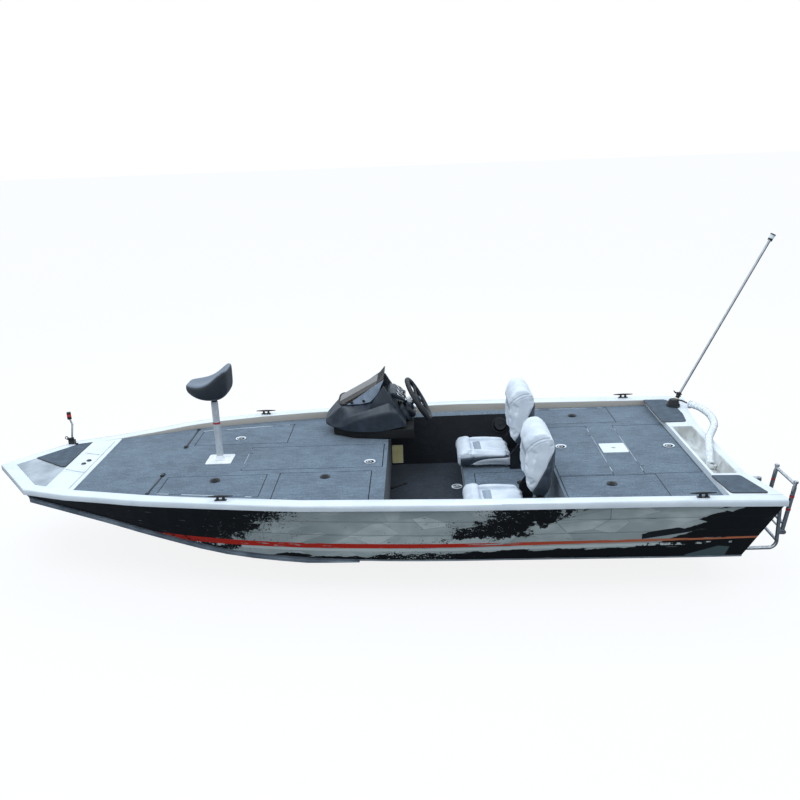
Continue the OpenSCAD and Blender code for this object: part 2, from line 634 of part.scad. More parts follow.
module steering_wheel() {
    r = (wheel_d - rim_d) / 2;
    color("#17191b") on_shaft(0) {
        rotate_extrude($fn = 64) translate([r, 0]) circle(d = rim_d, $fn = 20);
        translate([0, 0, -36]) cylinder(d = 86, h = 32);
        translate([0, 0, -5]) cylinder(d1 = 84, d2 = 64, h = 10);
        for (a = [0, 120, 240]) rotate([0, 0, a]) rotate([0, -6, 0]) translate([0, 0, -17])
            linear_extrude(height = 10) polygon([[30, -26], [r * 0.6, -15], [r - 2, -24], [r - 2, 24],
                [r * 0.6, 15], [30, 26]]);
    }
}

// Cockpit seats. Profiles in x and height for the cushion, the back and the hinge plates
cushion_profile = [[700, -258], [1080, -262], [1094, -206], [1074, -176], [1030, -158], [800, -158],
    [730, -140], [680, -165], [668, -215], [680, -250]];
back_profile = [[1106, -118], [1084, -70], [1068, 30], [1062, 140], [1074, 290], [1106, 340], [1176, 350],
    [1224, 310], [1244, 210], [1240, 90], [1206, -90], [1160, -146], [1124, -144]];
hinge_profile = [[1060, -262], [1150, -262], [1176, -140], [1170, -100], [1140, -86], [1106, -104],
    [1060, -170]];
pivot = [1138, -120];
pin_d = 12;
running = 0.6;
module cushion(y) {
    color(vinyl) {
        across(y - seat_w / 2 + 25, y + seat_w / 2 - 25, [for (p = cushion_profile) [p.x, datum + p.y]]);
        slab(760, 1040, y - 120, y + 120, datum - box_drop + eps, datum - 260);
    }
}
module seat_cushion_port() { cushion(-seat_y); }
module seat_cushion_starboard() { cushion(seat_y); }
module seat_hinges() {
    color("#17191b") for (y = [-seat_y, seat_y], s = [-1, 1]) let (h = y + s * (seat_w / 2 - 12)) {
        difference() {
            across(h - 4, h + 4, [for (p = hinge_profile) [p.x, datum + p.y]]);
            translate([pivot.x, h - 5, datum + pivot.y]) rotate([-90, 0, 0])
                cylinder(d = pin_d + running, h = 10);
        }
        slab(1060, 1150, s > 0 ? h - 60 : h - 4, s > 0 ? h + 4 : h + 60, datum - box_drop + eps, datum - 262);
    }
}
module back(y) {
    color(vinyl) across(y - seat_w / 2 + 25, y + seat_w / 2 - 25,
        [for (p = back_profile) [p.x, datum + p.y]]);
    color("#17191b") translate([pivot.x, y, datum + pivot.y]) rotate([-90, 0, 0]) {
        cylinder(d = 24, h = seat_w - 33, center = true);
        cylinder(d = pin_d, h = seat_w - 18, center = true);
    }
}
module seat_back_port() { back(-seat_y); }
module seat_back_starboard() { back(seat_y); }

// Navigation lights: a short bent pole at the bow and a tall one at the stern
bow_light_at = [-2139, 383];
module bow_light() {
    foot = [bow_light_at.x, bow_light_at.y, datum - 30.6];
    bend = foot + [22, 0, 150];
    head = foot + [8, 0, 196];
    color("#17191b") {
        translate(foot - [22, 16, 0]) cube([44, 32, 30]);
        translate(foot + [3, 0, 30]) cylinder(d = 28, h = 16);
        translate(head - [0, 0, 6]) cylinder(d = 30, h = 52);
    }
    color(steel) {
        bar(foot + [0, 0, 20], bend, 13);
        bar(bend, head, 13);
        translate(bend) sphere(d = 16);
    }
}
stern_light_at = [2408, 862];
pole_lean = 605;
module stern_light() {
    foot = [stern_light_at.x, stern_light_at.y, datum + 12];
    top = foot + [pole_lean, 0, pole_h];
    dir = unit(top - foot);
    color("#17191b") {
        translate([foot.x, foot.y, datum + eps]) cylinder(d = 46, h = 13);
        bar(foot, foot + dir * 62, 30);
        bar(top, top + dir * 18, 34);
        bar(top + dir * 44, top + dir * 54, 40);
    }
    color(steel) bar(foot, top, 19);
    color("#e9f1f4") bar(top + dir * 10, top + dir * 46, 34);
}

// Boarding ladder: folded upright behind the transom, with sliding inner tubes
ladder_y = -818;
ladder_foot = [2552, -278];
ladder_head = [2604, 36];
ladder_slant = atan2(ladder_head.x - ladder_foot.x, ladder_head.y - ladder_foot.y);
rail_len = norm(ladder_head - ladder_foot);
module on_ladder() {
    translate([ladder_foot.x, ladder_y, datum + ladder_foot.y]) rotate([0, ladder_slant, 0]) children();
}
bracket_x = 2515;
bracket_out = 25;
// Tube from low on the stern, round a bend and back to the stern under the frame
module bent_tube(y) {
    r = 45;
    low = -376;
    high = -62;
    d = 22;
    bar([stern_x(-y, low) - 8, y, datum + low], [bracket_x - r, y, datum + low], d);
    translate([bracket_x - r, y, datum + low + r]) rotate([90, 0, 0]) rotate([0, 0, -90])
        rotate_extrude(angle = 90) translate([r, 0]) circle(d = d, $fn = 24);
    bar([bracket_x, y, datum + low + r], [bracket_x, y, datum + high], d);
    translate([bracket_x, y, datum + high]) sphere(d = d);
    bar([bracket_x, y, datum + high], [stern_x(-y, high) - 8, y, datum + high], d);
}
module ladder_bracket() {
    color(steel) {
        difference() {
            for (y = [ladder_y - bracket_out, ladder_y + rail_gap + bracket_out]) bent_tube(y);
            port() quarter(-well_port + 1);
            transom();
        }
        for (y = [ladder_y - bracket_out, ladder_y + rail_gap + bracket_out])
            translate([0, y + 2.5, datum]) rotate([90, 0, 0]) linear_extrude(height = 5) hull() {
                translate([bracket_x, ladder_foot.y]) circle(d = 22, $fn = 24);
                translate(ladder_foot) circle(d = 26, $fn = 24);
            }
        bar([bracket_x, ladder_y - 25, datum - 330], [bracket_x, ladder_y + rail_gap + 25, datum - 330], 18);
        translate([ladder_foot.x, ladder_y - bracket_out, datum + ladder_foot.y]) rotate([-90, 0, 0])
            cylinder(d = pin_d, h = rail_gap + 2 * bracket_out);
    }
}
module ladder_rails() {
    color(steel) on_ladder() {
        for (y = [0, rail_gap]) translate([0, y, 0]) {
            difference() {
                union() {
                    translate([0, 0, 10]) cylinder(d = rail_d, h = rail_len - 46);
                    rotate([90, 0, 0]) translate([0, 0, -12]) cylinder(d = 30, h = 24);
                }
                translate([0, 0, 24]) cylinder(d = rail_d - 4, h = rail_len);
                rotate([90, 0, 0]) translate([0, 0, -14]) cylinder(d = pin_d + running, h = 28);
            }
        }
        translate([0, 12, 42]) rotate([-90, 0, 0]) cylinder(d = 20, h = rail_gap - 24);
    }
    color("#b02424") on_ladder() for (h = [0.42, 0.68]) difference() {
        translate([0, 0, rail_len * h]) cylinder(d = rail_d + 3, h = 10);
        translate([0, 0, rail_len * h - 1]) cylinder(d = rail_d - 1, h = 12);
    }
}
module ladder_slide() {
    color(steel) on_ladder() {
        for (y = [0, rail_gap]) translate([0, y, 0]) {
            translate([0, 0, 40]) cylinder(d = rail_d - 5, h = rail_len - 52);
            translate([0, 0, rail_len - 12]) cylinder(d = rail_d + 4, h = 12);
        }
        translate([0, 8, rail_len - 22]) rotate([-90, 0, 0]) cylinder(d = 18, h = rail_gap - 16);
    }
}

// Rigging: ribbed boot on the stern frame, gland in the well and the wrapped hose between them
boot_at = [2352, 742];
hose_route = [[2462, 700, 27], [2486, 655, 29], [2504, 605, 31], [2514, 545, 33], [2519, 480, 34],
    [2518, 410, 34], [2510, 340, 33], [2496, 270, 33], [2474, 200, 34], [2444, 130, 35], [2412, 65, 35],
    [2380, 2, 34], [2352, -58, 31], [2332, -118, 24], [2318, -170, 8], [2308, -211, -15], [2302, -243, -44],
    [2299, -264, -70]];
link_route = [[2352, 742, 50], [2380, 736, 54], [2410, 725, 48], [2438, 718, 36], [2457.3, 708.8, 26.6],
    [2461.95, 700.1, 27]];
well_slope = atan2(22, 71);
function cross3(a, b) = [a.y * b.z - a.z * b.y, a.z * b.x - a.x * b.z, a.x * b.y - a.y * b.x];
// Rings of n points about a route, kept upright so that the tube does not twist
function tube_rings(route, d, n) = let (m = len(route) - 1) [for (i = [0:m]) let (
    t = unit(route[min(i + 1, m)] - route[max(i - 1, 0)]),
    u = unit(cross3(t, [0, 0, 1])),
    v = cross3(u, t))
    [for (k = [0:n - 1]) [0, 0, datum] + route[i] + (u * cos(360 * k / n) + v * sin(360 * k / n)) * d / 2]];
module rigging_hose() {
    color(white) loft(tube_rings(hose_route, hose_d, 12));
}
module rigging_boot() {
    last = len(hose_route) - 1;
    end = hose_route[last] + [0, 0, datum];
    into = unit(hose_route[last] - hose_route[last - 1]);
    color("#17191b") {
        translate([boot_at.x, boot_at.y, datum + eps]) {
            cylinder(d = 100, h = 12);
            translate([0, 0, 12]) cylinder(d1 = 92, d2 = 76, h = 20);
            translate([0, 0, 32]) cylinder(d1 = 80, d2 = 50, h = 26);
        }
        loft(tube_rings(link_route, 12, 8));
        difference() {
            translate([2299, -272, datum - 87.2]) rotate([0, well_slope, 0]) cylinder(d = 70, h = 26);
            bar(end - into * 60, end + into * 60, hose_d + 1);
        }
    }
}

// Small pieces on the starboard cockpit wall; children stand on its face with y up the slope
module on_wall(x, z) {
    slope = atan2(wall_in(x, deck_z) - wall_foot, deck_z - floor_z);
    translate([x, wall_in(x, z), z]) rotate([90 - slope, 0, 0]) translate([0, 0, 2.5]) children();
}
module wall_pod() {
    color("#101214") on_wall(1045, datum - 145) {
        cylinder(d = 124, h = 8);
        translate([0, 0, 8]) cylinder(d1 = 112, d2 = 84, h = 26);
    }
}
module sign_plate() {
    color("#e8d98c") on_wall(238, datum - 330) translate([-42, -70, 0]) cube([84, 140, 4]);
}

bottom_plate();
side_port();
side_starboard();
chine_rails();
transom();
transom_quarters();
gunwale_port();
gunwale_starboard();
bow_plate();
bow_panel();
front_deck();
front_locker_walls();
locker_floors();
front_bulkhead();
cockpit_floor();
cockpit_wall_port();
cockpit_wall_starboard();
seat_box();
rear_bulkhead();
rear_deck();
rear_locker_walls();
stern_frame();
splash_well();
cleats();
pedestal();
pedestal_seat();
rear_socket();
console();
windscreen();
screen_wings();
steering_boss();
steering_wheel();
seat_cushion_port();
seat_cushion_starboard();
seat_hinges();
seat_back_port();
seat_back_starboard();
lid_front_centre();
lid_port_forward();
lid_port_aft();
lid_starboard_forward();
lid_rear_centre();
lid_aft_centre();
lid_rear_port();
lid_rear_starboard();
lid_seat_box();
bow_light();
stern_light();
ladder_bracket();
ladder_rails();
ladder_slide();
rigging_boot();
rigging_hose();
wall_pod();
sign_plate();
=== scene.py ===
# Looks for the plate-alloy bass boat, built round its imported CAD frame. Metres; +X aft, +Y starboard, +Z up.
import json
import math
import random
import bmesh
import bpy
from mathutils import Matrix, Vector


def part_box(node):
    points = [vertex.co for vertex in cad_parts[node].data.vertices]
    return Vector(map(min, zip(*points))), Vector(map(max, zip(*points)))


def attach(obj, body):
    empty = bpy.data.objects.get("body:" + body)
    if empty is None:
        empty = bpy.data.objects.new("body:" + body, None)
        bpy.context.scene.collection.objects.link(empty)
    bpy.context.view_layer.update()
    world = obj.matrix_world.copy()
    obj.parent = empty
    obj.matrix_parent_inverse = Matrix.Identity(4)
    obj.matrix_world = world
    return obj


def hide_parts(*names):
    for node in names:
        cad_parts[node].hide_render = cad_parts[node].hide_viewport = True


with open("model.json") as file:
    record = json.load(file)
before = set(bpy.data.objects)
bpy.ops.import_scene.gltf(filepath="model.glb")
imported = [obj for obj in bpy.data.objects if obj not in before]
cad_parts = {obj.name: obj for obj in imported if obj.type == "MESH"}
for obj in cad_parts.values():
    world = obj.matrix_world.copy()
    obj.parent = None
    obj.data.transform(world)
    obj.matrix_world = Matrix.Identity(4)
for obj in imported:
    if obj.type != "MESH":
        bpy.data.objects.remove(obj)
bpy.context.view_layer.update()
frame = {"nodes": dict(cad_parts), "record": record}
gunwaleZ = 0.420  # height of the gunwale datum above the waterline
deckZ = 0.379  # top of both casting decks


def say(stage):
    print("boat:", stage)


def lift(z):
    return Vector((0, 0, z))


view = dict(place=(0.4284, -5.3671, 2.4513), yaw=-0.0255, pitch=0.3037, roll=-0.0380, lens=37.70)


def placeCamera():
    cp, sp = math.cos(view["pitch"]), math.sin(view["pitch"])
    cy, sy = math.cos(view["yaw"]), math.sin(view["yaw"])
    ahead = Vector((sy * cp, cy * cp, -sp))
    right = Vector((cy, -sy, 0))
    up = right.cross(ahead)
    cr, sr = math.cos(view["roll"]), math.sin(view["roll"])
    side, top = right * cr + up * sr, up * cr - right * sr
    data = bpy.data.cameras.new("camera")
    data.lens, data.sensor_width = view["lens"], 36
    camera = bpy.data.objects.new("camera", data)
    bpy.context.scene.collection.objects.link(camera)
    turn = Matrix((side, top, -ahead)).transposed()
    camera.matrix_world = Matrix.Translation(view["place"]) @ turn.to_4x4()
    data.clip_start, data.clip_end = 0.1, 200
    bpy.context.scene.camera = camera


studio = dict(light=(0.88, 0.985, 1.09), skyPower=1.0, floorZ=-0.215, floorSize=160, floor="#5E6266",
              glow=0.86, lamps=[("key", (-2.5, -3.0, 9.0), 5.0, 300), ("rim", (2.5, 4.5, 7.5), 5.0, 150)])


def hexToLinear(text):
    parts = [int(text[i:i + 2], 16) / 255 for i in (1, 3, 5)]
    return tuple(c / 12.92 if c <= 0.04045 else ((c + 0.055) / 1.055) ** 2.4 for c in parts) + (1.0,)


# Adds a node with its settings and links, and gives the output asked for. Stops fill a colour ramp.
def add(tree, kind, inputs=None, out=0, stops=None, **settings):
    node = tree.nodes.new("ShaderNode" + kind)
    for name, value in settings.items():
        setattr(node, name, value)
    for socket, value in (inputs or {}).items():
        if isinstance(value, bpy.types.NodeSocket):
            tree.links.new(value, node.inputs[socket])
        else:
            node.inputs[socket].default_value = value
    if stops:
        node.color_ramp.interpolation = "CONSTANT" if len(stops[0]) > 2 else "LINEAR"
        while len(node.color_ramp.elements) < len(stops):
            node.color_ramp.elements.new(0.5)
        for element, stop in zip(node.color_ramp.elements, stops):
            element.position = stop[0]
            element.color = hexToLinear(stop[1]) if isinstance(stop[1], str) else (stop[1],) * 3 + (1,)
    return node.outputs[out]


def lightStudio():
    bpy.context.scene.view_settings.view_transform = "Standard"  # whites stay white
    world = bpy.data.worlds.new("studio")
    bpy.context.scene.world = world
    world.use_nodes = True
    sky = world.node_tree.nodes["Background"]
    sky.inputs["Strength"].default_value = studio["skyPower"]
    # The camera sees a white backdrop, and the boat a cool overcast light
    seen = add(world.node_tree, "LightPath", out="Is Camera Ray")
    backdrop = add(world.node_tree, "Mix", {"Factor": seen, "A": studio["light"] + (1,), "B": (1, 1, 1, 1)},
                   out="Result", data_type="RGBA")
    world.node_tree.links.new(backdrop, sky.inputs["Color"])
    for name, place, size, power in studio["lamps"]:
        data = bpy.data.lights.new(name, "AREA")
        data.size, data.energy, data.color = size, power, studio["light"]
        lamp = bpy.data.objects.new(name, data)
        bpy.context.scene.collection.objects.link(lamp)
        lamp.location = place
        lamp.rotation_euler = (lift(0.2) - Vector(place)).to_track_quat("-Z", "Y").to_euler()


# A material under way: its tree, its shader and its object coordinates
class Finish:
    def __init__(self, name, colour="#808080", roughness=0.5, metallic=0.0, ior=None, **sockets):
        self.material = bpy.data.materials.new(name)
        self.material.use_nodes = True
        self.tree = self.material.node_tree
        self.shader = self.tree.nodes["Principled BSDF"]
        self.shader.inputs["Base Color"].default_value = hexToLinear(colour)
        self.shader.inputs["Roughness"].default_value = roughness
        self.shader.inputs["Metallic"].default_value = metallic
        if ior:
            self.shader.inputs["IOR"].default_value = ior
        for socket, value in sockets.items():
            self.shader.inputs[socket.replace("_", " ")].default_value = value
        self.place = add(self.tree, "TexCoord", out="Object")

    def feed(self, socket, value):
        self.tree.links.new(value, self.shader.inputs[socket])

    def bump(self, height, depth, strength=1.0):
        inputs = {"Height": height, "Distance": depth, "Strength": strength}
        self.feed("Normal", add(self.tree, "Bump", inputs))


# Grains per metre for a pattern whose repeat is given in millimetres
def per(mm):
    return 1000 / mm


# Needle-punched polypropylene: matt, with pale tips over a darker ground and brushed, cloudy patches.
# The 2 mm tufts are drawn at 9 mm so that they show from across the boat.
def carpetFinish(name, ground, tips, cloud, topColour=None, topZ=0.0, sheen=0.2):
    f = Finish(name, roughness=0.95, Sheen_Weight=sheen, Sheen_Roughness=0.6)
    t = f.tree
    tuft = add(t, "TexNoise", {"Vector": f.place, "Scale": per(9), "Detail": 3.0, "Roughness": 0.7})
    patch = add(t, "TexNoise", {"Vector": f.place, "Scale": per(170), "Detail": 4.0, "Roughness": 0.6})
    brushed = add(t, "Mapping", {"Vector": f.place, "Rotation": (0, 0, 0.5), "Scale": (1, 3.2, 1)})
    nap = add(t, "TexNoise", {"Vector": brushed, "Scale": per(60), "Detail": 3.0})
    base = add(t, "ValToRGB", {"Fac": tuft}, stops=[(0.36, ground), (0.66, tips)])
    shade = add(t, "Math", {0: patch, 1: nap}, operation="ADD")
    tone = add(t, "ValToRGB", {"Fac": add(t, "Math", {0: shade, 1: 0.5}, operation="MULTIPLY")},
               stops=[(0.38, cloud), (0.62, "#FFFFFF")])
    colour = add(t, "Mix", {"Factor": 0.62, "A": base, "B": tone}, out="Result",
                 data_type="RGBA", blend_type="MULTIPLY")
    if topColour:
        z = add(t, "SeparateXYZ", {"Vector": f.place}, out="Z")
        band = add(t, "Math", {0: z, 1: topZ}, operation="GREATER_THAN")
        upper = add(t, "ValToRGB", {"Fac": tuft}, stops=[(0.36, topColour[0]), (0.66, topColour[1])])
        colour = add(t, "Mix", {"Factor": band, "A": colour, "B": upper}, out="Result", data_type="RGBA")
    f.feed("Base Color", colour)
    f.bump(tuft, 0.0012, 0.7)
    return f.material


# Powder-coated aluminium extrusion: an even, slightly orange-peeled gloss, with painted shade on the inner
# lip: faces that look inboard are coloured warm grey
def whitePaintFinish(name, lip=True):
    f = Finish(name, "#F4F6F7", roughness=0.34, Coat_Weight=0.2, Coat_Roughness=0.15)
    t = f.tree
    peel = add(t, "TexNoise", {"Vector": f.place, "Scale": per(7), "Detail": 2.0})
    f.bump(peel, 0.0002, 0.25)
    grime = add(t, "TexNoise", {"Vector": f.place, "Scale": per(220), "Detail": 5.0, "Roughness": 0.65})
    colour = add(t, "ValToRGB", {"Fac": grime}, stops=[(0.3, "#D2D8DD"), (0.7, "#E2E7EB")])
    # Painted shade: faces that look inboard take a warm grey in place of white
    if lip:
        normal = add(t, "SeparateXYZ", {"Vector": add(t, "NewGeometry", out="Normal")}, out="Y")
        y = add(t, "SeparateXYZ", {"Vector": f.place}, out="Y")
        side = add(t, "Math", {0: y}, operation="SIGN")
        facing = add(t, "Math", {0: normal, 1: side}, operation="MULTIPLY")
        inner = add(t, "Math", {0: facing, 1: -0.8}, operation="LESS_THAN")
        colour = add(t, "Mix", {"Factor": inner, "A": colour, "B": hexToLinear("#B9B1A6")}, out="Result",
                     data_type="RGBA")
    f.feed("Base Color", colour)
    return f.material


# Mill-finished marine aluminium plate: drawn grain along the boat, cloudy oxide and a soft metal sheen
def alloyFinish(name, light="#C9D0D6", dark="#9EA7AF", roughness=0.42, metallic=0.85):
    f = Finish(name, roughness=roughness, metallic=metallic)
    t = f.tree
    grain = add(t, "TexNoise", {"Vector": add(t, "Mapping", {"Vector": f.place, "Scale": (0.08, 1, 1)}),
                                "Scale": per(5), "Detail": 4.0, "Roughness": 0.6})
    cloud = add(t, "TexNoise", {"Vector": f.place, "Scale": per(140), "Detail": 4.0})
    f.feed("Base Color", add(t, "ValToRGB", {"Fac": cloud}, stops=[(0.35, dark), (0.65, light)]))
    f.feed("Roughness", add(t, "MapRange", {"Value": grain, "From Min": 0.3, "From Max": 0.7,
                                            "To Min": roughness - 0.1, "To Max": roughness + 0.12}))
    f.bump(grain, 0.0003, 0.4)
    return f.material


# Polished stainless tube: bright, with faint draw lines and a little darkening
def stainlessFinish():
    f = Finish("polished_stainless", "#C6CACD", roughness=0.2, metallic=1.0)
    t = f.tree
    lines = add(t, "TexNoise", {"Vector": f.place, "Scale": per(12), "Detail": 5.0})
    f.feed("Base Color", add(t, "ValToRGB", {"Fac": lines}, stops=[(0.35, "#A9AEB2"), (0.65, "#D3D7DA")]))
    f.feed("Roughness", add(t, "MapRange", {"Value": lines, "To Min": 0.14, "To Max": 0.3}))
    return f.material


# Moulded nylon or ABS: dark, with a fine spark-eroded texture and paler rubbed patches
def plasticFinish(name, dark, pale, roughness=0.45, grain=1.6):
    f = Finish(name, roughness=roughness, ior=1.5)
    t = f.tree
    rub = add(t, "TexNoise", {"Vector": f.place, "Scale": per(55), "Detail": 5.0, "Roughness": 0.6})
    f.feed("Base Color", add(t, "ValToRGB", {"Fac": rub}, stops=[(0.4, dark), (0.72, pale)]))
    f.feed("Roughness", add(t, "MapRange", {"Value": rub, "From Min": 0.3, "From Max": 0.7,
                                            "To Min": roughness - 0.07, "To Max": roughness + 0.1}))
    f.bump(add(t, "TexNoise", {"Vector": f.place, "Scale": per(grain * 2), "Detail": 2.0}), 0.00025, 0.5)
    return f.material


# Marine vinyl: soft sheen over a pebbled grain, drawn at 4 mm for a real 1.5 mm so that it shows
def vinylFinish(name, base, shade, parts=()):
    f = Finish(name, roughness=0.42, ior=1.5, Sheen_Weight=0.06)
    t = f.tree
    pebble = add(t, "TexVoronoi", {"Vector": f.place, "Scale": per(4)}, out="Distance")
    cloud = add(t, "TexNoise", {"Vector": f.place, "Scale": per(90), "Detail": 3.0})
    colour = add(t, "ValToRGB", {"Fac": cloud}, stops=[(0.35, shade), (0.65, base)])
    for attribute, tone in parts:
        mask = add(t, "Attribute", out="Fac", attribute_name=attribute)
        inside = add(t, "MapRange", {"Value": mask, "From Min": -0.0006, "From Max": 0.0006})
        colour = add(t, "Mix", {"Factor": inside, "A": colour, "B": hexToLinear(tone)}, out="Result",
                     data_type="RGBA")
    f.feed("Base Color", colour)
    f.bump(pebble, 0.0004, 0.35)
    return f.material


# Colour, metal and gloss that change along a line through the piece: place is metres along it
def bandedFinish(name, start, along, bands):
    f = Finish(name)
    t = f.tree
    d = Vector(along).normalized()
    offset = add(t, "VectorMath", {0: f.place, 1: tuple(start)}, operation="SUBTRACT")
    s = add(t, "VectorMath", {0: offset, 1: tuple(d)}, out="Value", operation="DOT_PRODUCT")
    span = bands[-1][0] * 1.25
    s = add(t, "Math", {0: s, 1: 1 / span}, operation="MULTIPLY")
    rub = add(t, "TexNoise", {"Vector": f.place, "Scale": per(30), "Detail": 4.0})
    tone = add(t, "ValToRGB", {"Fac": rub}, stops=[(0.35, "#D0D0D0"), (0.65, "#FFFFFF")])
    colour, metal, rough = (add(t, "ValToRGB", {"Fac": s}, stops=[(b[0] / span, b[k], 0) for b in bands])
                            for k in (1, 2, 3))
    f.feed("Base Color", add(t, "Mix", {"Factor": 0.5, "A": colour, "B": tone}, out="Result",
                             data_type="RGBA", blend_type="MULTIPLY"))
    f.feed("Metallic", metal)
    f.feed("Roughness", rough)
    return f.material


wrap = dict(
    black="#0B0D10", soot="#1A1F24", pale="#ABB4B2", paleLow="#98A2A0", mist="#CBD2CF", teal="#4C5C5E",
    red="#C22A1A", redAft="#C0714F", shard=190, lean=0.9, squeeze=2.6, swages=[0.312, 0.212], swageHalf=0.005,
    # each noise: stretch along x, y and z, size in millimetres, detail, roughness
    noises=dict(ragged=((1, 1, 1.2), 75, 8.0, 0.72), cloud=((0.6, 1, 1), 260, 3.0, 0.65),
                fleck=((1, 1, 1.4), 11, 2.0, 0.5), field=((1, 1, 1), 150, 2.0, 0.65),
                drag=((0.06, 1, 2.2), 22, 4.0, 0.6)),
    # where the fields end along the torn line or the hull, and the height and rise of the bands
    lines=dict(bowEdge=-0.87, patchFore=0.32, patchAft=0.78, sternEdge=1.42, lowZ=0.052, lowRise=0.034,
               stripeZ=0.128, stripeRise=0.012),
    layers=[("shards", "rimSoft", "paleRamp", "teal"), ("sootField", "stern", "black", "sootRamp"),
            ("fields", "dark", "shards", "sootField"), ("lined", "underB", "fields", "mist"),
            ("printed", "line", "lined", "redRamp")],
    signs={"+": "ADD", "-": "SUBTRACT", "*": "MULTIPLY", "<": "LESS_THAN", ">": "GREATER_THAN",
           "max": "MAXIMUM", "min": "MINIMUM", "abs": "ABSOLUTE"},
    sums=[
        # torn edges: the slanted distance along the hull, moved by the noise and the shards
        "r = ragged - 0.5, c = chip - 0.5, slant = z * 1.3, s = x - slant, r2 = r * 0.75, c2 = c * 0.16",
        "s2 = s + r2, torn = s2 + c2, bow = torn < bowEdge, patchA = torn > patchFore",
        "patchB = torn < patchAft, patchX = patchA * patchB, high = r * 0.22, high2 = z + high",
        "patchZ = high2 > 0.185, patch = patchX * patchZ",
        # lower band, which climbs towards the stern
        "climb = x * lowRise, low0 = climb + lowZ, lowR = r * 0.05, lowC = c * 0.035, low1 = low0 + lowR",
        "low2 = low1 + lowC, band = z < low2",
        # stern field under a rising edge
        "sternX = x - sternEdge, sternR = sternX * 0.42, sternC = c * 0.12, stern0 = sternR + sternC",
        "stern1 = stern0 + 0.03, sternTop = stern1 + lowR, stern = z < sternTop",
        "dark0 = bow max patch, dark1 = band max stern, dark2 = dark0 max dark1",
        # specks gather near the torn edges, drags run along the pale field
        "gapBow = torn - bowEdge, gapPatch = torn - patchFore, nearBow = gapBow abs 0",
        "nearPatch = gapPatch abs 0, near = nearBow min nearPatch, thin = near * 0.36, most = 0.62 - field",
        "sparse = most * 0.35, need0 = thin + 0.565, need = need0 + sparse, spots = fleck > need",
        "dragLine = drag > 0.70, flip = spots max dragLine, flipped = dark2 - flip, dark = flipped abs 0",
        # pale tones: clouds, and shards a shade apart
        "paleC = c * 0.30, paleTone = cloud + paleC, rimLine = rim < 0.010, rimSome = chip > 0.66",
        "rims = rimLine * rimSome, rimSoft = rims * 0.8",
        # stripe with a pale companion below it
        "run = x * stripeRise, mid = run + stripeZ, off = z - mid, offAbs = off abs 0, taper0 = x * -0.0044",
        "taper = taper0 + 0.0172, inLine = offAbs < taper, startR = r * 2.4, startX = x + startR",
        "started = startX > -1.25, lineA = inLine * started, under = off + 0.031, underAbs = under abs 0",
        "inUnder = underAbs < 0.010, underStart = startX > -0.75, underEnd = startX < 1.9",
        "underA = inUnder * underStart, underB = underA * underEnd, scuff = drag > 0.62, keep = 1.0 - scuff",
        "line = lineA * keep, redX = x + 2.5, redFac = redX * 0.2"])


# Cast vinyl film on painted plate: a soft gloss over a printed design of torn dark fields, slanted shards,
# drag marks and paint specks, which gives the eye sharp dark and pale edges
def wrapFinish():
    w = wrap
    f = Finish("cast_film_wrap", roughness=0.34, Specular_IOR_Level=0.35, Coat_Weight=0.12,
               Coat_Roughness=0.12)
    t = f.tree
    v = dict(w["lines"])  # every value of the design by name: a number or a node's output
    for axis in "xz":
        v[axis] = add(t, "SeparateXYZ", {"Vector": f.place}, out=axis.upper())
    for name, (stretch, size, detail, rough) in w["noises"].items():
        where = add(t, "Mapping", {"Vector": f.place, "Scale": stretch})
        v[name] = add(t, "TexNoise", {"Vector": where, "Scale": per(size), "Detail": detail,
                                      "Roughness": rough})
    lean = add(t, "Math", {0: v["z"], 1: w["lean"]}, operation="MULTIPLY")
    flatX = add(t, "Math", {0: v["x"], 1: lean}, operation="SUBTRACT")
    flatZ = add(t, "Math", {0: v["z"], 1: w["squeeze"]}, operation="MULTIPLY")
    flat = add(t, "CombineXYZ", {"X": flatX, "Y": flatZ})
    for name, out, feature in (("tone", "Color", "F1"), ("rim", "Distance", "DISTANCE_TO_EDGE")):
        v[name] = add(t, "TexVoronoi", {"Vector": flat, "Scale": per(w["shard"])}, out=out, feature=feature,
                      voronoi_dimensions="2D")
    v["chip"] = add(t, "SeparateXYZ", {"Vector": v["tone"]}, out="X")
    for row in ",".join(w["sums"]).split(","):
        name, _, a, sign, b = row.split()
        a, b = (v[k] if k in v else float(k) for k in (a, b))
        v[name] = add(t, "Math", {0: a, 1: b}, operation=w["signs"][sign])
    for name, value, stops in (
            ("paleRamp", "paleTone", [(0.30, w["paleLow"]), (0.52, w["pale"]), (0.70, w["mist"])]),
            ("sootRamp", "chip", [(0.0, w["black"], 0), (0.86, w["soot"], 0), (0.95, w["teal"], 0)]),
            ("redRamp", "redFac", [(0.30, w["red"]), (0.62, w["red"]), (0.88, w["redAft"])])):
        v[name] = add(t, "ValToRGB", {"Fac": v[value]}, stops=stops)
    for name in ("black", "teal", "mist"):
        v[name] = hexToLinear(w[name])
    for name, factor, a, b in w["layers"]:
        v[name] = add(t, "Mix", {"Factor": v[factor], "A": v[a], "B": v[b]}, out="Result", data_type="RGBA")
    f.feed("Base Color", v["printed"])
    # Pressed swages along the plate, and the faint waviness of welded sheet
    height = add(t, "TexNoise", {"Vector": f.place, "Scale": per(300), "Detail": 2.0})
    for swage in w["swages"]:
        gap = add(t, "Math", {0: v["z"], 1: swage}, operation="SUBTRACT")
        step = add(t, "MapRange", {"Value": gap, "From Min": -w["swageHalf"], "From Max": w["swageHalf"],
                                   "To Max": 0.9}, interpolation_type="SMOOTHSTEP")
        height = add(t, "Math", {0: height, 1: step}, operation="ADD")
    f.bump(height, 0.004, 0.6)
    return f.material


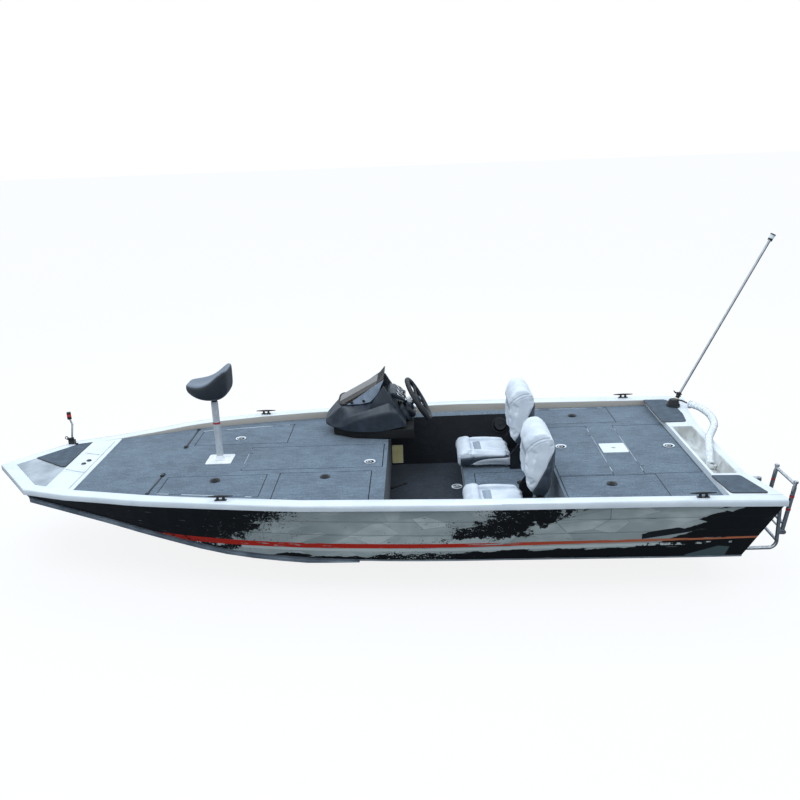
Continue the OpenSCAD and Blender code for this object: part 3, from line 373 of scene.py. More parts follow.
# Smoked cast acrylic: brown and glass-clear, with a hard gloss
def screenFinish():
    f = Finish("smoked_acrylic", "#57493D", roughness=0.06, ior=1.49, Transmission_Weight=0.65)
    t = f.tree
    smear = add(t, "TexNoise", {"Vector": f.place, "Scale": per(80), "Detail": 4.0})
    f.feed("Roughness", add(t, "MapRange", {"Value": smear, "To Min": 0.03, "To Max": 0.12}))
    f.feed("Base Color", add(t, "ValToRGB", {"Fac": smear}, stops=[(0.3, "#3A3028"), (0.7, "#564A3E")]))
    return f.material


# Stretch film wound round a corrugated hose: milky, wet-looking, with creases across and along it, and painted
# shade that makes the low parts of the folds greyer
def filmFinish():
    f = Finish("polythene_film", "#EEF3F6", roughness=0.24, Coat_Weight=0.6, Coat_Roughness=0.1,
               Subsurface_Weight=0.15)
    t = f.tree
    crease = add(t, "TexVoronoi", {"Vector": f.place, "Scale": per(16)}, out="Distance",
                 feature="DISTANCE_TO_EDGE")
    foldAndShade = add(t, "TexNoise", {"Vector": f.place, "Scale": per(22), "Detail": 6.0, "Roughness": 0.7,
                               "Distortion": 1.2})
    # Painted shade: the colour follows the fold noise that also raises the bump, so the troughs of the folds
    # are greyer
    f.feed("Base Color", add(t, "ValToRGB", {"Fac": foldAndShade}, stops=[(0.32, "#C2CDD6"), (0.5, "#E9EFF3"),
                                                                (0.62, "#F8FBFC")]))
    f.bump(add(t, "Math", {0: foldAndShade, 1: add(t, "Math", {0: crease, 1: 1.5}, operation="MULTIPLY")},
               operation="ADD"), 0.006, 0.8)
    return f.material


plastics = dict(  # material, dark and pale tone, roughness, grain in millimetres
    black=("glass_filled_nylon", "#0D0F12", "#1D2126", 0.42),
    console=("moulded_abs", "#18202A", "#28323F", 0.4, 2.5),
    mat=("eva_foam_tread", "#414D59", "#56636F", 0.85, 3.0),
    wheel=("soft_grip_polyurethane", "#12161A", "#23292F", 0.55),
    greyPlate=("satin_grey_paint", "#7F8B9A", "#A3AFBD", 0.35),
    sign=("blank_enamel_plate", "#D9CB86", "#EBDFA6", 0.4),
    hollow=("shadowed_recess", "#030405", "#08090B", 0.8),
    seamGrey=("sealant_bead", "#8F989E", "#B0B7BC", 0.6),
    bright=("white_acetal", "#E4E8EA", "#F7F9FA", 0.3), dialFace=("printed_dial", "#0B0D10", "#14181D", 0.3),
    ivory=("ivory_nylon", "#D9CDA4", "#EFE6C6", 0.35), red=("red_vinyl_band", "#8E1B1B", "#B4262A", 0.4))
steel, nylon, redBand = ("#C6CACD", 1.0, 0.2), ("#101316", 0.0, 0.42), ("#B4262A", 0.0, 0.4)


def makeFinishes():
    made = dict(
        deck=carpetFinish("needle_punch_carpet", "#43525F", "#6E8394", "#828FA2"),
        step=carpetFinish("shaded_riser_carpet", "#2B343E", "#47545F", "#828FA2", sheen=0.1),
        darkCarpet=carpetFinish("dark_wall_carpet", "#0B0D11", "#1B1F27", "#9AA0A8", sheen=0.03,
                                topColour=("#73818D", "#98A5B0"), topZ=deckZ - 0.026),
        floorCarpet=carpetFinish("cockpit_floor_carpet", "#181D25", "#333D49", "#8790A0", sheen=0.05),
        white=whitePaintFinish("powder_coated_extrusion"),
        whitePlate=whitePaintFinish("white_two_pack_paint", lip=False),
        alloy=alloyFinish("mill_finish_plate"),
        rail=alloyFinish("ribbed_rail_alloy", "#8C96A0", "#646E78", 0.5),
        well=alloyFinish("acid_washed_plate", "#ECEEEE", "#C2C3C0", 0.45, 0.35),
        wrap=wrapFinish(), stainless=stainlessFinish(), screen=screenFinish(), film=filmFinish())
    for name, row in plastics.items():
        made[name] = plasticFinish(*row)
    up = (0, 0, 1)
    made["bowLight"] = bandedFinish("bow_light_parts", bowLightFoot, up,
                                    [(0.0,) + nylon, (0.046,) + steel, (0.190,) + nylon,
                                     (0.210, "#C9322B", 0.0, 0.15), (0.228,) + nylon])
    made["boot"] = bandedFinish("rubber_boot_and_white_gland", (0, 0, gunwaleZ - 0.2), up,
                                [(0.0, "#E3E5E4", 0.0, 0.4), (0.19, "#101316", 0.0, 0.45),
                                 (0.4, "#101316", 0.0, 0.45)])
    made["pedestal"] = bandedFinish("pedestal_parts", (0, 0, deckZ), up,
                                    [(0.0, "#F2F4F5", 0.0, 0.35), (0.032, "#D6DADD", 0.35, 0.35),
                                     (0.2621, "#B02424", 0.0, 0.4), (0.2739, "#DCE0E3", 0.35, 0.35),
                                     (0.4195, "#111417", 0.0, 0.4)])
    return made


finishes = {}
nodeFinishes = dict(
    alloy="bottom_plate transom transom_quarters bow_plate front_locker_walls locker_floors "
          "rear_locker_walls",
    wrap="side_port side_starboard", rail="chine_rails", white="gunwale_port gunwale_starboard",
    whitePlate="bow_panel stern_frame rear_socket", well="splash_well", step="front_bulkhead",
    deck="front_deck rear_deck seat_box rear_bulkhead lid_front_centre lid_port_forward lid_port_aft "
         "lid_starboard_forward lid_rear_centre lid_aft_centre lid_rear_port lid_rear_starboard lid_seat_box",
    floorCarpet="cockpit_floor", darkCarpet="cockpit_wall_port cockpit_wall_starboard", pedestal="pedestal",
    black="cleats seat_hinges wall_pod", console="console steering_boss", wheel="steering_wheel",
    screen="windscreen", greyPlate="screen_wings", stainless="ladder_bracket ladder_slide", sign="sign_plate",
    bowLight="bow_light", sternLight="stern_light", ladderRails="ladder_rails", boot="rigging_boot")
bowLightFoot = Vector((-2.139, 0.383, gunwaleZ - 0.0306))
sternLight = dict(foot=Vector((2.408, 0.862, gunwaleZ + 0.012)), pole=Vector((0.605, 0, 1.2)))
ladder = dict(low=Vector((2.552, 0, gunwaleZ - 0.278)), head=Vector((2.604, 0, gunwaleZ + 0.036)))


def dressFrame():
    n = sternLight["pole"].length
    finishes["sternLight"] = bandedFinish(
        "stern_light_parts", sternLight["foot"], sternLight["pole"],
        [(0.0,) + nylon, (0.062,) + steel, (n, "#101316", 0.0, 0.4), (n + 0.018, "#E9F1F4", 0.0, 0.12),
         (n + 0.044, "#101316", 0.0, 0.4)])
    run = ladder["head"] - ladder["low"]
    bands = [(0.0,) + steel]
    for share in (0.42, 0.68):  # a red ring on each rail at these shares of its height
        bands += [(run.length * share - 0.0005,) + redBand, (run.length * share + 0.0105,) + steel]
    finishes["ladderRails"] = bandedFinish("ladder_rail_parts", ladder["low"], run, bands)
    for finish, nodes in nodeFinishes.items():
        for node in nodes.split():
            for slot in frame["nodes"][node].material_slots:
                slot.material = finishes[finish]


# Links a mesh as a new piece; one still under way is turned outwards and written out first
def newPiece(name, mesh):
    if isinstance(mesh, bmesh.types.BMesh):
        built, mesh = mesh, bpy.data.meshes.new(name)
        bmesh.ops.recalc_face_normals(built, faces=built.faces)
        built.to_mesh(mesh)
        built.free()
    piece = bpy.data.objects.new(name, mesh)
    bpy.context.scene.collection.objects.link(piece)
    return piece


# Joins rings of vertices with faces, and closes both ends
def bridge(mesh, rings):
    n = len(rings[0])
    for a, b in zip(rings, rings[1:]):
        for k in range(n):
            mesh.faces.new((a[k], a[(k + 1) % n], b[(k + 1) % n], b[k]))
    mesh.faces.new(reversed(rings[0]))
    mesh.faces.new(rings[-1])


# Everything but the new primitive is left unselected, because operators act on all that is selected
def start(operator, **settings):
    if bpy.context.object and bpy.context.object.mode != "OBJECT":
        bpy.ops.object.mode_set(mode="OBJECT")
    bpy.ops.object.select_all(action="DESELECT")
    operator(**settings)
    return bpy.context.object


def only(piece):
    if bpy.context.object and bpy.context.object.mode != "OBJECT":
        bpy.ops.object.mode_set(mode="OBJECT")
    bpy.ops.object.select_all(action="DESELECT")
    piece.select_set(True)
    bpy.context.view_layer.objects.active = piece


def pick(piece, test, edges=False):
    bpy.ops.object.mode_set(mode="EDIT")
    bpy.ops.mesh.select_all(action="DESELECT")
    bpy.ops.mesh.select_mode(type="EDGE" if edges else "FACE")
    mesh = bmesh.from_edit_mesh(piece.data)
    if edges:
        for e in mesh.edges:
            e.select_set(test(e.verts[0].co, e.verts[1].co))
    else:
        mesh.normal_update()
        for face in mesh.faces:
            face.select_set(test(face.calc_center_median(), face.normal))
    mesh.select_flush_mode()
    bmesh.update_edit_mesh(piece.data)


def modify(piece, kind, **settings):
    only(piece)
    modifier = piece.modifiers.new(kind.lower(), kind)
    for name, value in settings.items():
        setattr(modifier, name, value)
    bpy.ops.object.modifier_apply(modifier=modifier.name)


# Applies the place, names the piece, and gives it its body and a finish if it has none
def settle(piece, name, body, finish, smooth=35):
    only(piece)
    bpy.ops.object.transform_apply(location=True, rotation=True, scale=True)
    bpy.ops.object.shade_smooth_by_angle(angle=math.radians(smooth))
    piece.name = piece.data.name = name
    if not piece.data.materials:
        piece.data.materials.append(finishes[finish])
    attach(piece, body)
    return piece


# A rod or disc turned along a direction, with its finish; a second radius makes it taper
def rod(radius, length, place, along=(0, 0, 1), finish="black", head=None, sides=32):
    part = start(bpy.ops.mesh.primitive_cone_add, vertices=sides, radius1=radius, depth=length,
                 radius2=radius if head is None else head, location=place,
                 rotation=Vector(along).to_track_quat("Z", "Y").to_euler())
    part.data.materials.append(finishes[finish])
    return part


def brick(size, place, turn=(0, 0, 0), finish="black"):
    part = start(bpy.ops.mesh.primitive_cube_add, size=1, location=place, rotation=turn)
    part.scale = size
    part.data.materials.append(finishes[finish])
    return part


def hoop(radius, thickness, place, along=(0, 0, 1), finish="black", sides=40):
    part = start(bpy.ops.mesh.primitive_torus_add, major_radius=radius, minor_radius=thickness,
                 major_segments=sides, minor_segments=10, location=place,
                 rotation=Vector(along).to_track_quat("Z", "Y").to_euler())
    part.data.materials.append(finishes[finish])
    return part


# Joins parts into one piece, rounds its edges and settles it
def assemble(parts, name, body, edge=0.0, smooth=35):
    only(parts[0])
    for part in parts:
        part.select_set(True)
    if len(parts) > 1:
        bpy.ops.object.join()
    piece = bpy.context.object
    only(piece)
    bpy.ops.object.transform_apply(location=True, rotation=True, scale=True)
    if edge:
        modify(piece, "BEVEL", width=edge, segments=2, limit_method="ANGLE", angle_limit=math.radians(40))
    return settle(piece, name, body, None, smooth)


# Gives a second finish to the faces that pass a test on their middle in the piece's own coordinates
def repaint(piece, finish, test):
    piece.data.materials.append(finishes[finish])
    last = len(piece.data.materials) - 1
    for face in piece.data.polygons:
        if test(face.center, face.normal):
            face.material_index = last


# Stands in for a moulded or extruded CAD node: the same form with its hard edges rounded
def soften(node, finish, width):
    piece = newPiece(node + "_moulded", frame["nodes"][node].data.copy())
    piece.data.materials.clear()
    only(piece)
    bpy.ops.object.mode_set(mode="EDIT")
    bpy.ops.mesh.select_all(action="SELECT")
    bpy.ops.mesh.remove_doubles(threshold=0.00005)
    bpy.ops.mesh.dissolve_limited(angle_limit=math.radians(1.5))
    bpy.ops.object.mode_set(mode="OBJECT")
    modify(piece, "BEVEL", width=width, segments=3, limit_method="ANGLE", angle_limit=math.radians(28))
    settle(piece, node + "_moulded", "hull", finish)
    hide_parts(node)


def layFloor():
    size = studio["floorSize"]
    floor = start(bpy.ops.mesh.primitive_grid_add, x_subdivisions=2, y_subdivisions=2, size=size,
                  location=(0, 0, studio["floorZ"]))
    floor.name = "studio_floor"
    only(floor)
    bpy.ops.object.transform_apply(location=True)
    # The camera sees a pale glow, and the boat only the dull light that comes off a real floor
    f = Finish("pale_matt_paint", studio["floor"], roughness=1.0, Specular_IOR_Level=0.0,
               Emission_Color=(1, 1, 1, 1))
    seen = add(f.tree, "LightPath", out="Is Camera Ray")
    f.feed("Emission Strength", add(f.tree, "Math", {0: seen, 1: studio["glow"]}, operation="MULTIPLY"))
    floor.data.materials.append(f.material)


hose = dict(diameter=0.050, sides=20, step=0.006, crinkle=0.0026, route=[
    (2.462, 0.700, 0.447), (2.486, 0.655, 0.449), (2.504, 0.605, 0.451), (2.514, 0.545, 0.453),
    (2.519, 0.480, 0.454), (2.518, 0.410, 0.454), (2.510, 0.340, 0.453), (2.496, 0.270, 0.453),
    (2.474, 0.200, 0.454), (2.444, 0.130, 0.455), (2.412, 0.065, 0.455), (2.380, 0.002, 0.454),
    (2.352, -0.058, 0.451), (2.332, -0.118, 0.444), (2.318, -0.170, 0.428), (2.308, -0.211, 0.405),
    (2.302, -0.243, 0.376), (2.299, -0.264, 0.350)])


# Points a step apart on a smooth curve through a route
def smoothPath(route, step):
    points = [Vector(p) for p in route]
    ends = [2 * points[0] - points[1]] + points + [2 * points[-1] - points[-2]]
    path = []
    for i in range(1, len(ends) - 2):
        a, b, c, d = ends[i - 1:i + 3]
        count = max(1, round((c - b).length / step))
        for k in range(count):
            t = k / count
            path.append(0.5 * (2 * b + (c - a) * t + (2 * a - 5 * b + 4 * c - d) * t * t
                               + (3 * b - a - 3 * c + d) * t ** 3))
    return path + [points[-1]]


# A tube of rings along a path; bulge(i, k) widens the ring's point k at path point i
def tube(name, path, radius, sides, bulge=lambda i, k: 0.0):
    mesh = bmesh.new()
    rings = []
    for i, p in enumerate(path):
        ahead = (path[min(i + 1, len(path) - 1)] - path[max(i - 1, 0)]).normalized()
        across = ahead.cross(lift(1)).normalized()
        over = across.cross(ahead)
        rings.append([mesh.verts.new(p + (across * math.cos(a) + over * math.sin(a)) * (radius + bulge(i, k)))
                      for k, a in enumerate(2 * math.pi * n / sides for n in range(sides))])
    bridge(mesh, rings)
    return newPiece(name, mesh)


def layHose():
    h = hose
    random.seed(7)
    path = smoothPath(h["route"], h["step"])
    n = h["sides"]
    rough = [[random.uniform(-1, 1) for _ in range(n)] for _ in path]

    def crinkle(i, k):
        if i < 3 or i > len(path) - 4:
            return -0.0006
        around = sum(rough[i][(k + d) % n] for d in (-1, 0, 1)) / 3
        wind = math.sin(i * 0.9 + k * 2 * math.pi / n) * 0.45
        return h["crinkle"] * (around * 0.9 + wind)

    piece = tube("wrapped_hose", path, h["diameter"] / 2, n, crinkle)
    settle(piece, "wrapped_hose", "hull", "film", smooth=50)
    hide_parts("rigging_hose")
    length = sum((b - a).length for a, b in zip(path, path[1:]))
    say("hose laid, %.3f m" % length)


seat = dict(middle=0.452, voxel=0.006, pressure=4.0, cushionCap=0.012, backCap=0.010, light="#DDE3EA",
            lightShade="#C9D1DA", charcoal="#3A434E", insert="#8C98A5", panel="#D3D7DC")


# A closed block: a profile in x and height above the gunwale, between two half-breadths
def block(mesh, profile, y0, y1):
    bridge(mesh, [[mesh.verts.new((x, y, gunwaleZ + z)) for x, z in profile] for y in (y0, y1)])


# Blocks become one skin by a voxel remesh, swell as cloth under pressure, and are capped and subdivided
def padFrom(name, blocks, cap, rounds=6):
    mesh = bmesh.new()
    for profile, y0, y1 in blocks:
        block(mesh, profile, y0, y1)
    pad = newPiece(name, mesh)
    modify(pad, "REMESH", mode="VOXEL", voxel_size=seat["voxel"])
    modify(pad, "SMOOTH", factor=0.5, iterations=rounds)
    before = [v.co.copy() for v in pad.data.vertices]
    only(pad)
    cloth = pad.modifiers.new("cloth", "CLOTH")
    cloth.settings.use_pressure = True
    cloth.settings.uniform_pressure_force = seat["pressure"]
    cloth.settings.effector_weights.gravity = 0
    cloth.settings.quality = 5
    cloth.settings.tension_stiffness = cloth.settings.compression_stiffness = 20
    scene = bpy.context.scene
    for number in range(1, 21):
        scene.frame_set(number)
    bpy.ops.object.modifier_apply(modifier=cloth.name)
    scene.frame_set(1)
    for v, old in zip(pad.data.vertices, before):
        step = v.co - old
        if step.length > cap:
            v.co = old + step * (cap / step.length)
    modify(pad, "SUBSURF", levels=1, render_levels=1)
    return pad


# Presses grooves into a pad where a signed distance runs through nought, and keeps each as an attribute
def seam(pad, distance, depth, width, attribute=None):
    normals = [v.normal.copy() for v in pad.data.vertices]
    values = [distance(v.co) for v in pad.data.vertices]
    for v, n, d in zip(pad.data.vertices, normals, values):
        if d is not None and abs(d) < 3 * width:
            v.co -= n * depth * math.exp(-(d / width) ** 2)
    if attribute:
        data = pad.data.attributes.new(attribute, "FLOAT", "POINT")
        data.data.foreach_set("value", [-1.0 if d is None else d for d in values])


def copyTo(pad, name, dy):
    twin = newPiece(name, pad.data.copy())
    twin.data.transform(Matrix.Translation((0, dy, 0)))
    return twin


cushionForm = dict(
    base=[(0.694, -0.252), (1.074, -0.256), (1.082, -0.215), (1.062, -0.186), (0.700, -0.186)],
    roll=[(0.676, -0.224), (0.692, -0.246), (0.770, -0.240), (0.792, -0.190), (0.780, -0.154),
          (0.742, -0.146), (0.700, -0.156), (0.680, -0.182)],
    bolster=[(0.76, -0.21), (1.05, -0.21), (1.052, -0.186), (1.03, -0.166), (0.90, -0.160), (0.76, -0.156)],
    centre=[(0.790, -0.215), (1.070, -0.215), (1.078, -0.190), (1.058, -0.172), (0.800, -0.170)])
backForm = dict(
    rise=0.925,  # height above the hinge, as a share of the profiles below
    core=[(1.112, -0.106), (1.094, -0.060), (1.084, 0.030), (1.078, 0.140), (1.086, 0.280), (1.112, 0.330),
          (1.172, 0.340), (1.214, 0.302), (1.234, 0.205), (1.230, 0.090), (1.198, -0.080), (1.158, -0.136),
          (1.128, -0.134)],
    wing=[(1.100, -0.100), (1.078, -0.050), (1.066, 0.040), (1.062, 0.140), (1.070, 0.225), (1.12, 0.25),
          (1.18, 0.20), (1.16, 0.0), (1.14, -0.09)],
    head=[(1.066, 0.200), (1.064, 0.250), (1.076, 0.300), (1.108, 0.337), (1.160, 0.344), (1.200, 0.320),
          (1.15, 0.26), (1.10, 0.20)])


# Signed distance from the line through two points, as seen from the side: positive aft of it and below
def aftOf(a, b):
    run = Vector((b[0] - a[0], b[1] - a[1])).normalized()
    return lambda p: (p.x - a[0]) * run.y - (p.z - gunwaleZ - a[1]) * run.x


def makeCushion():
    w = 0.178
    c = cushionForm
    blocks = [(c["base"], -w, w), (c["roll"], -w - 0.002, w + 0.002)]
    for s in (-1, 1):
        blocks.append((c["bolster"], min(s * w, s * 0.112), max(s * w, s * 0.112)))
    pad = padFrom("seat_pad", blocks, seat["cushionCap"])

    def sweep(p):  # lower light panel: a crescent that rises from the bottom edge and runs aft
        x, z = p.x, p.z - gunwaleZ
        if abs(p.y) < 0.14:
            return None
        top = -0.262 + 0.066 * (1 - math.exp(-max(0.0, x - 0.775) / 0.06)) if x > 0.775 else -0.30
        return top - z

    def band(p):  # charcoal side band under the bolster
        x, z = p.x, p.z - gunwaleZ
        if abs(p.y) < 0.14 or x < 0.70:
            return None
        line = -0.197 + 0.014 * min(1.0, max(0.0, (x - 0.70) / 0.18))
        return min(line - z, (x - 0.705) * 0.8)

    seam(pad, band, 0.004, 0.004, "band")
    seam(pad, sweep, 0.003, 0.004, "panel")
    seam(pad, lambda p: p.x - 0.792 if p.z > gunwaleZ - 0.20 and abs(p.y) > 0.10 else None, 0.003, 0.004)
    seam(pad, lambda p: p.x - (0.748 + 0.02 * abs(p.y) / 0.18) if p.z > gunwaleZ - 0.2 and abs(p.y) > 0.125
         else None, 0.0025, 0.003)
    centre = padFrom("seat_centre", [(c["centre"], -0.106, 0.106)], seat["cushionCap"])
    seam(centre, lambda p: 0.862 - p.x, 0.003, 0.004, "insert")
    return pad, centre


def makeBack():
    w = 0.172
    b = {part: [(x, -0.10 + (z + 0.10) * backForm["rise"]) for x, z in backForm[part]]
         for part in ("core", "wing", "head")}
    blocks = [(b["core"], -w, w), (b["head"], -w, w)]
    for s in (-1, 1):
        blocks.append((b["wing"], min(s * w, s * 0.115), max(s * w, s * 0.115)))
    pad = padFrom("back_pad", blocks, seat["backCap"], rounds=16)
    seam(pad, aftOf((1.098, -0.075), (1.240, 0.200)), 0.004, 0.004, "charcoal")
    for radius, depth, width in ((0.128, 0.004, 0.004), (0.110, 0.002, 0.003)):  # arcs round the head roll
        seam(pad, lambda p: math.hypot(p.x - 1.185, p.z - gunwaleZ - 0.145) - radius
             if p.z > gunwaleZ + 0.11 else None, depth, width)
    seam(pad, lambda p: min(0.185 - (p.z - gunwaleZ), (p.z - gunwaleZ) - 0.105, 0.112 - abs(p.y))
         if p.x < 1.12 else None, 0.003, 0.004, "insert")
    return pad


def makeSeats():
    for name, seams in (("cushion", [("band", "charcoal"), ("panel", "panel")]),
                        ("centre", [("insert", "insert")]),
                        ("back", [("insert", "insert"), ("charcoal", "charcoal")])):
        finishes[name + "Vinyl"] = vinylFinish("marine_vinyl_" + name, seat["light"], seat["lightShade"],
                                               [(attribute, seat[tone]) for attribute, tone in seams])
    pad, centre = makeCushion()
    back = makeBack()
    for side, s in (("port", -1), ("starboard", 1)):
        for source, part, body, finish, fill in (
                (pad, "cushion_", "hull", "cushionVinyl", 0.7),
                (centre, "centre_pad_", "hull", "centreVinyl", 0.6),
                (back, "backrest_", "seat_back_" + side, "backVinyl", 0.7)):
            piece = copyTo(source, part + side, s * seat["middle"])
            settle(piece, part + side, body, finish, smooth=60)
            if part != "centre_pad_":
                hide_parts(("seat_cushion_" if body == "hull" else "seat_back_") + side)
    for source in (pad, centre, back):
        bpy.data.objects.remove(source)
    say("seats made")


# Saddle seat on its post. Rings from the nose aft: x, half-width, top edge, underside, dish of the top
fishing = dict(x=-0.96, z=deckZ + 0.440, top="#5F6B79", side="#252A30", rings=[
    (-0.168, 0.058, 0.116, 0.074, 0.000), (-0.154, 0.092, 0.124, 0.056, 0.002),
    (-0.110, 0.128, 0.122, 0.030, 0.006), (-0.050, 0.150, 0.126, 0.010, 0.014),
    (0.010, 0.160, 0.152, 0.008, 0.024), (0.055, 0.158, 0.192, 0.010, 0.030),
    (0.090, 0.146, 0.218, 0.026, 0.020), (0.113, 0.120, 0.221, 0.050, 0.006),
    (0.124, 0.086, 0.206, 0.080, 0.000)])


def makeSaddle():
    f = fishing
    mesh = bmesh.new()
    rings = []
    for x, half, edge, bottom, dish in f["rings"]:
        port = [(-0.98, edge - 0.030), (-0.94, edge - 0.008), (-0.78, edge), (-0.4, edge - dish * 0.7)]
        under = [(0.96, bottom + 0.026), (0.72, bottom + 0.004)]
        shape = (port + [(0, edge - dish)] + [(-y, z) for y, z in reversed(port)] + under + [(0, bottom)]
                 + [(-y, z) for y, z in reversed(under)])
        rings.append([mesh.verts.new((f["x"] + x, y * half, f["z"] + z)) for y, z in shape])
    bridge(mesh, rings)
    pad = newPiece("saddle", mesh)
    modify(pad, "SUBSURF", levels=2, render_levels=2)
    modify(pad, "REMESH", mode="VOXEL", voxel_size=0.005)
    modify(pad, "SMOOTH", factor=0.5, iterations=3)
    modify(pad, "SUBSURF", levels=1, render_levels=1)
    normals = [v.normal.copy() for v in pad.data.vertices]
    values = [min(n.z - 0.62, 1.0) * 0.02 for n in normals]
    attribute = pad.data.attributes.new("top", "FLOAT", "POINT")
    attribute.data.foreach_set("value", values)
    for v, n, d in zip(pad.data.vertices, normals, values):
        if v.co.z > f["z"] + 0.03:
            v.co -= n * 0.002 * math.exp(-(d / 0.0022) ** 2)
    finishes["saddleVinyl"] = vinylFinish("marine_vinyl_saddle", f["side"], "#22272D", [("top", f["top"])])
    settle(pad, "fishing_seat_pad", "fishing_seat", "saddleVinyl", smooth=60)
    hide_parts("pedestal_seat")
    swivel = start(bpy.ops.mesh.primitive_cylinder_add, vertices=40, radius=0.034, depth=0.014,
                   location=(f["x"], 0, f["z"] + 0.003))
    pick(swivel, lambda c, n: n.z < -0.9)
    bpy.ops.mesh.inset(thickness=0.006)
    bpy.ops.transform.translate(value=(0, 0, -0.004))
    bpy.ops.object.mode_set(mode="OBJECT")
    modify(swivel, "BEVEL", width=0.002, segments=2, limit_method="ANGLE")
    settle(swivel, "seat_swivel", "fishing_seat", "black")
    say("fishing seat made")


latches = dict(flange=0.038, lip=0.010, height=0.0045, pull=0.014, places=[
    ("starboard_forward", -0.898, 0.405, "whitePlate"), ("front_centre", 0.077, -0.127, "whitePlate"),
    ("rear_centre", 1.385, 0.051, "whitePlate"), ("aft_centre", 2.111, 0.011, "whitePlate"),
    ("port_forward", -0.912, -0.382, "black"), ("port_aft", -0.202, -0.367, "black"),
    ("rear_port", 1.585, -0.607, "black"), ("rear_starboard", 1.579, 0.704, "black"),
    ("seat_box", 1.110, 0.000, "black")])


# Flush slam latches: a flanged cup with a lifting ring, one to each lid
def makeLatches():
    l = latches
    for lid, x, y, finish in l["places"]:
        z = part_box("lid_" + lid)[1][2]
        size = l["flange"] if finish == "whitePlate" else l["flange"] * 0.86
        cup = rod(size, l["height"], (x, y, z + l["height"] / 2 - 0.0002), finish=finish, sides=48)
        pick(cup, lambda c, n: n.z > 0.9)
        bpy.ops.mesh.inset(thickness=l["lip"])
        bpy.ops.transform.translate(value=(0, 0, -l["height"] * 0.75))
        bpy.ops.mesh.inset(thickness=0.003)
        bpy.ops.object.mode_set(mode="OBJECT")
        repaint(cup, "hollow", lambda c, n: math.hypot(c.x, c.y) < size - l["lip"] - 0.001)
        ring = hoop(l["pull"], 0.0018, (x - 0.004, y, z + 0.0024), finish=finish)
        pin = (x - 0.004 - l["pull"], y, z + 0.0026)
        hinge = rod(0.0022, l["pull"] * 1.5, pin, (0, 1, 0), finish, sides=16)
        assemble([cup, ring, hinge], "latch_" + lid, "lid_" + lid, 0.0008)
    say("latches made")


# Piano hinges: a knuckled alloy tube in the gap along each lid's hinged edge
def makeHinges():
    for joint in frame["record"]["behaviour"]["joints"]:
        name = joint["name"]
        if not name.startswith("lid_"):
            continue
        lid = joint["child"]
        axis, middle = Vector(joint["axis"]), Vector(joint["pos_m"])
        runs = [(v.co - middle).dot(axis) for v in frame["nodes"][lid].data.vertices]
        length = (max(runs) - min(runs)) * 0.90
        middle = middle + axis * (max(runs) + min(runs)) / 2
        pin = rod(0.0026, length, middle - lift(0.0012), axis, "alloy", sides=12)
        assemble([pin], "hinge_" + lid[4:], "hull")
    say("hinges made")


mats = dict(thick=0.005, rim=0.007, pieces=[
    ("bow", "bow_plate", 0.045, [(-2.322, 0.140), (-2.011, -0.089), (-1.999, 0.486)]),
    ("stern_starboard", "stern_frame", 0.020, [(2.166, 0.376), (2.340, 0.380), (2.366, 0.545), (2.366, 0.840),
                                               (2.332, 0.905), (2.166, 0.912)]),
    ("stern_port", "stern_frame", 0.020, [(2.176, -0.618), (2.206, -0.886), (2.420, -0.898),
                                          (2.352, -0.628)])])


# Tread mats: a sheet cut to shape along each side, its corners rounded, then raised with a black rim that is
# partly the mat's dark border and partly painted shadow along its thick edge
def makeMats():
    m = mats
    for name, node, corner, outline in m["pieces"]:
        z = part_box(node)[1][2]
        xs, ys = [p[0] for p in outline], [p[1] for p in outline]
        middle = Vector((sum(xs) / len(xs), sum(ys) / len(ys)))
        mat = start(bpy.ops.mesh.primitive_plane_add, size=1.4, location=(middle.x, middle.y, z))
        bpy.ops.object.transform_apply(location=True)
        bpy.ops.object.mode_set(mode="EDIT")
        for a, b in zip(outline, outline[1:] + outline[:1]):
            out = Vector((b[1] - a[1], a[0] - b[0], 0)).normalized()
            if (Vector((a[0], a[1])) - middle).dot(out.xy) < 0:
                out = -out
            bpy.ops.mesh.select_all(action="SELECT")
            bpy.ops.mesh.bisect(plane_co=(a[0], a[1], z), plane_no=out, clear_outer=True)
        bpy.ops.mesh.select_all(action="SELECT")
        bpy.ops.mesh.bevel(offset=corner, segments=6, affect="VERTICES")
        bpy.ops.mesh.select_all(action="SELECT")
        bpy.ops.mesh.extrude_region_move(TRANSFORM_OT_translate={"value": (0, 0, m["thick"])})
        bpy.ops.mesh.inset(thickness=m["rim"])
        bpy.ops.object.mode_set(mode="OBJECT")
        mat.data.materials.append(finishes["mat"])
        inner = [f for f in mat.data.polygons if f.normal.z > 0.9]
        largest = max(inner, key=lambda f: f.area).index
        # The rim and the edge faces go black: the mat's dark border, and painted shadow along its edge
        repaint(mat, "black", lambda c, n: True)
        mat.data.polygons[largest].material_index = 0
        assemble([mat], "mat_" + name, "hull", 0.001)
    say("mats made")


straps = dict(width=0.011, thick=0.003, places=[
    ("starboard", (-1.265, 0.635), (-1.266, 0.252)), ("port", (-1.298, -0.560), (-1.283, -0.262))])


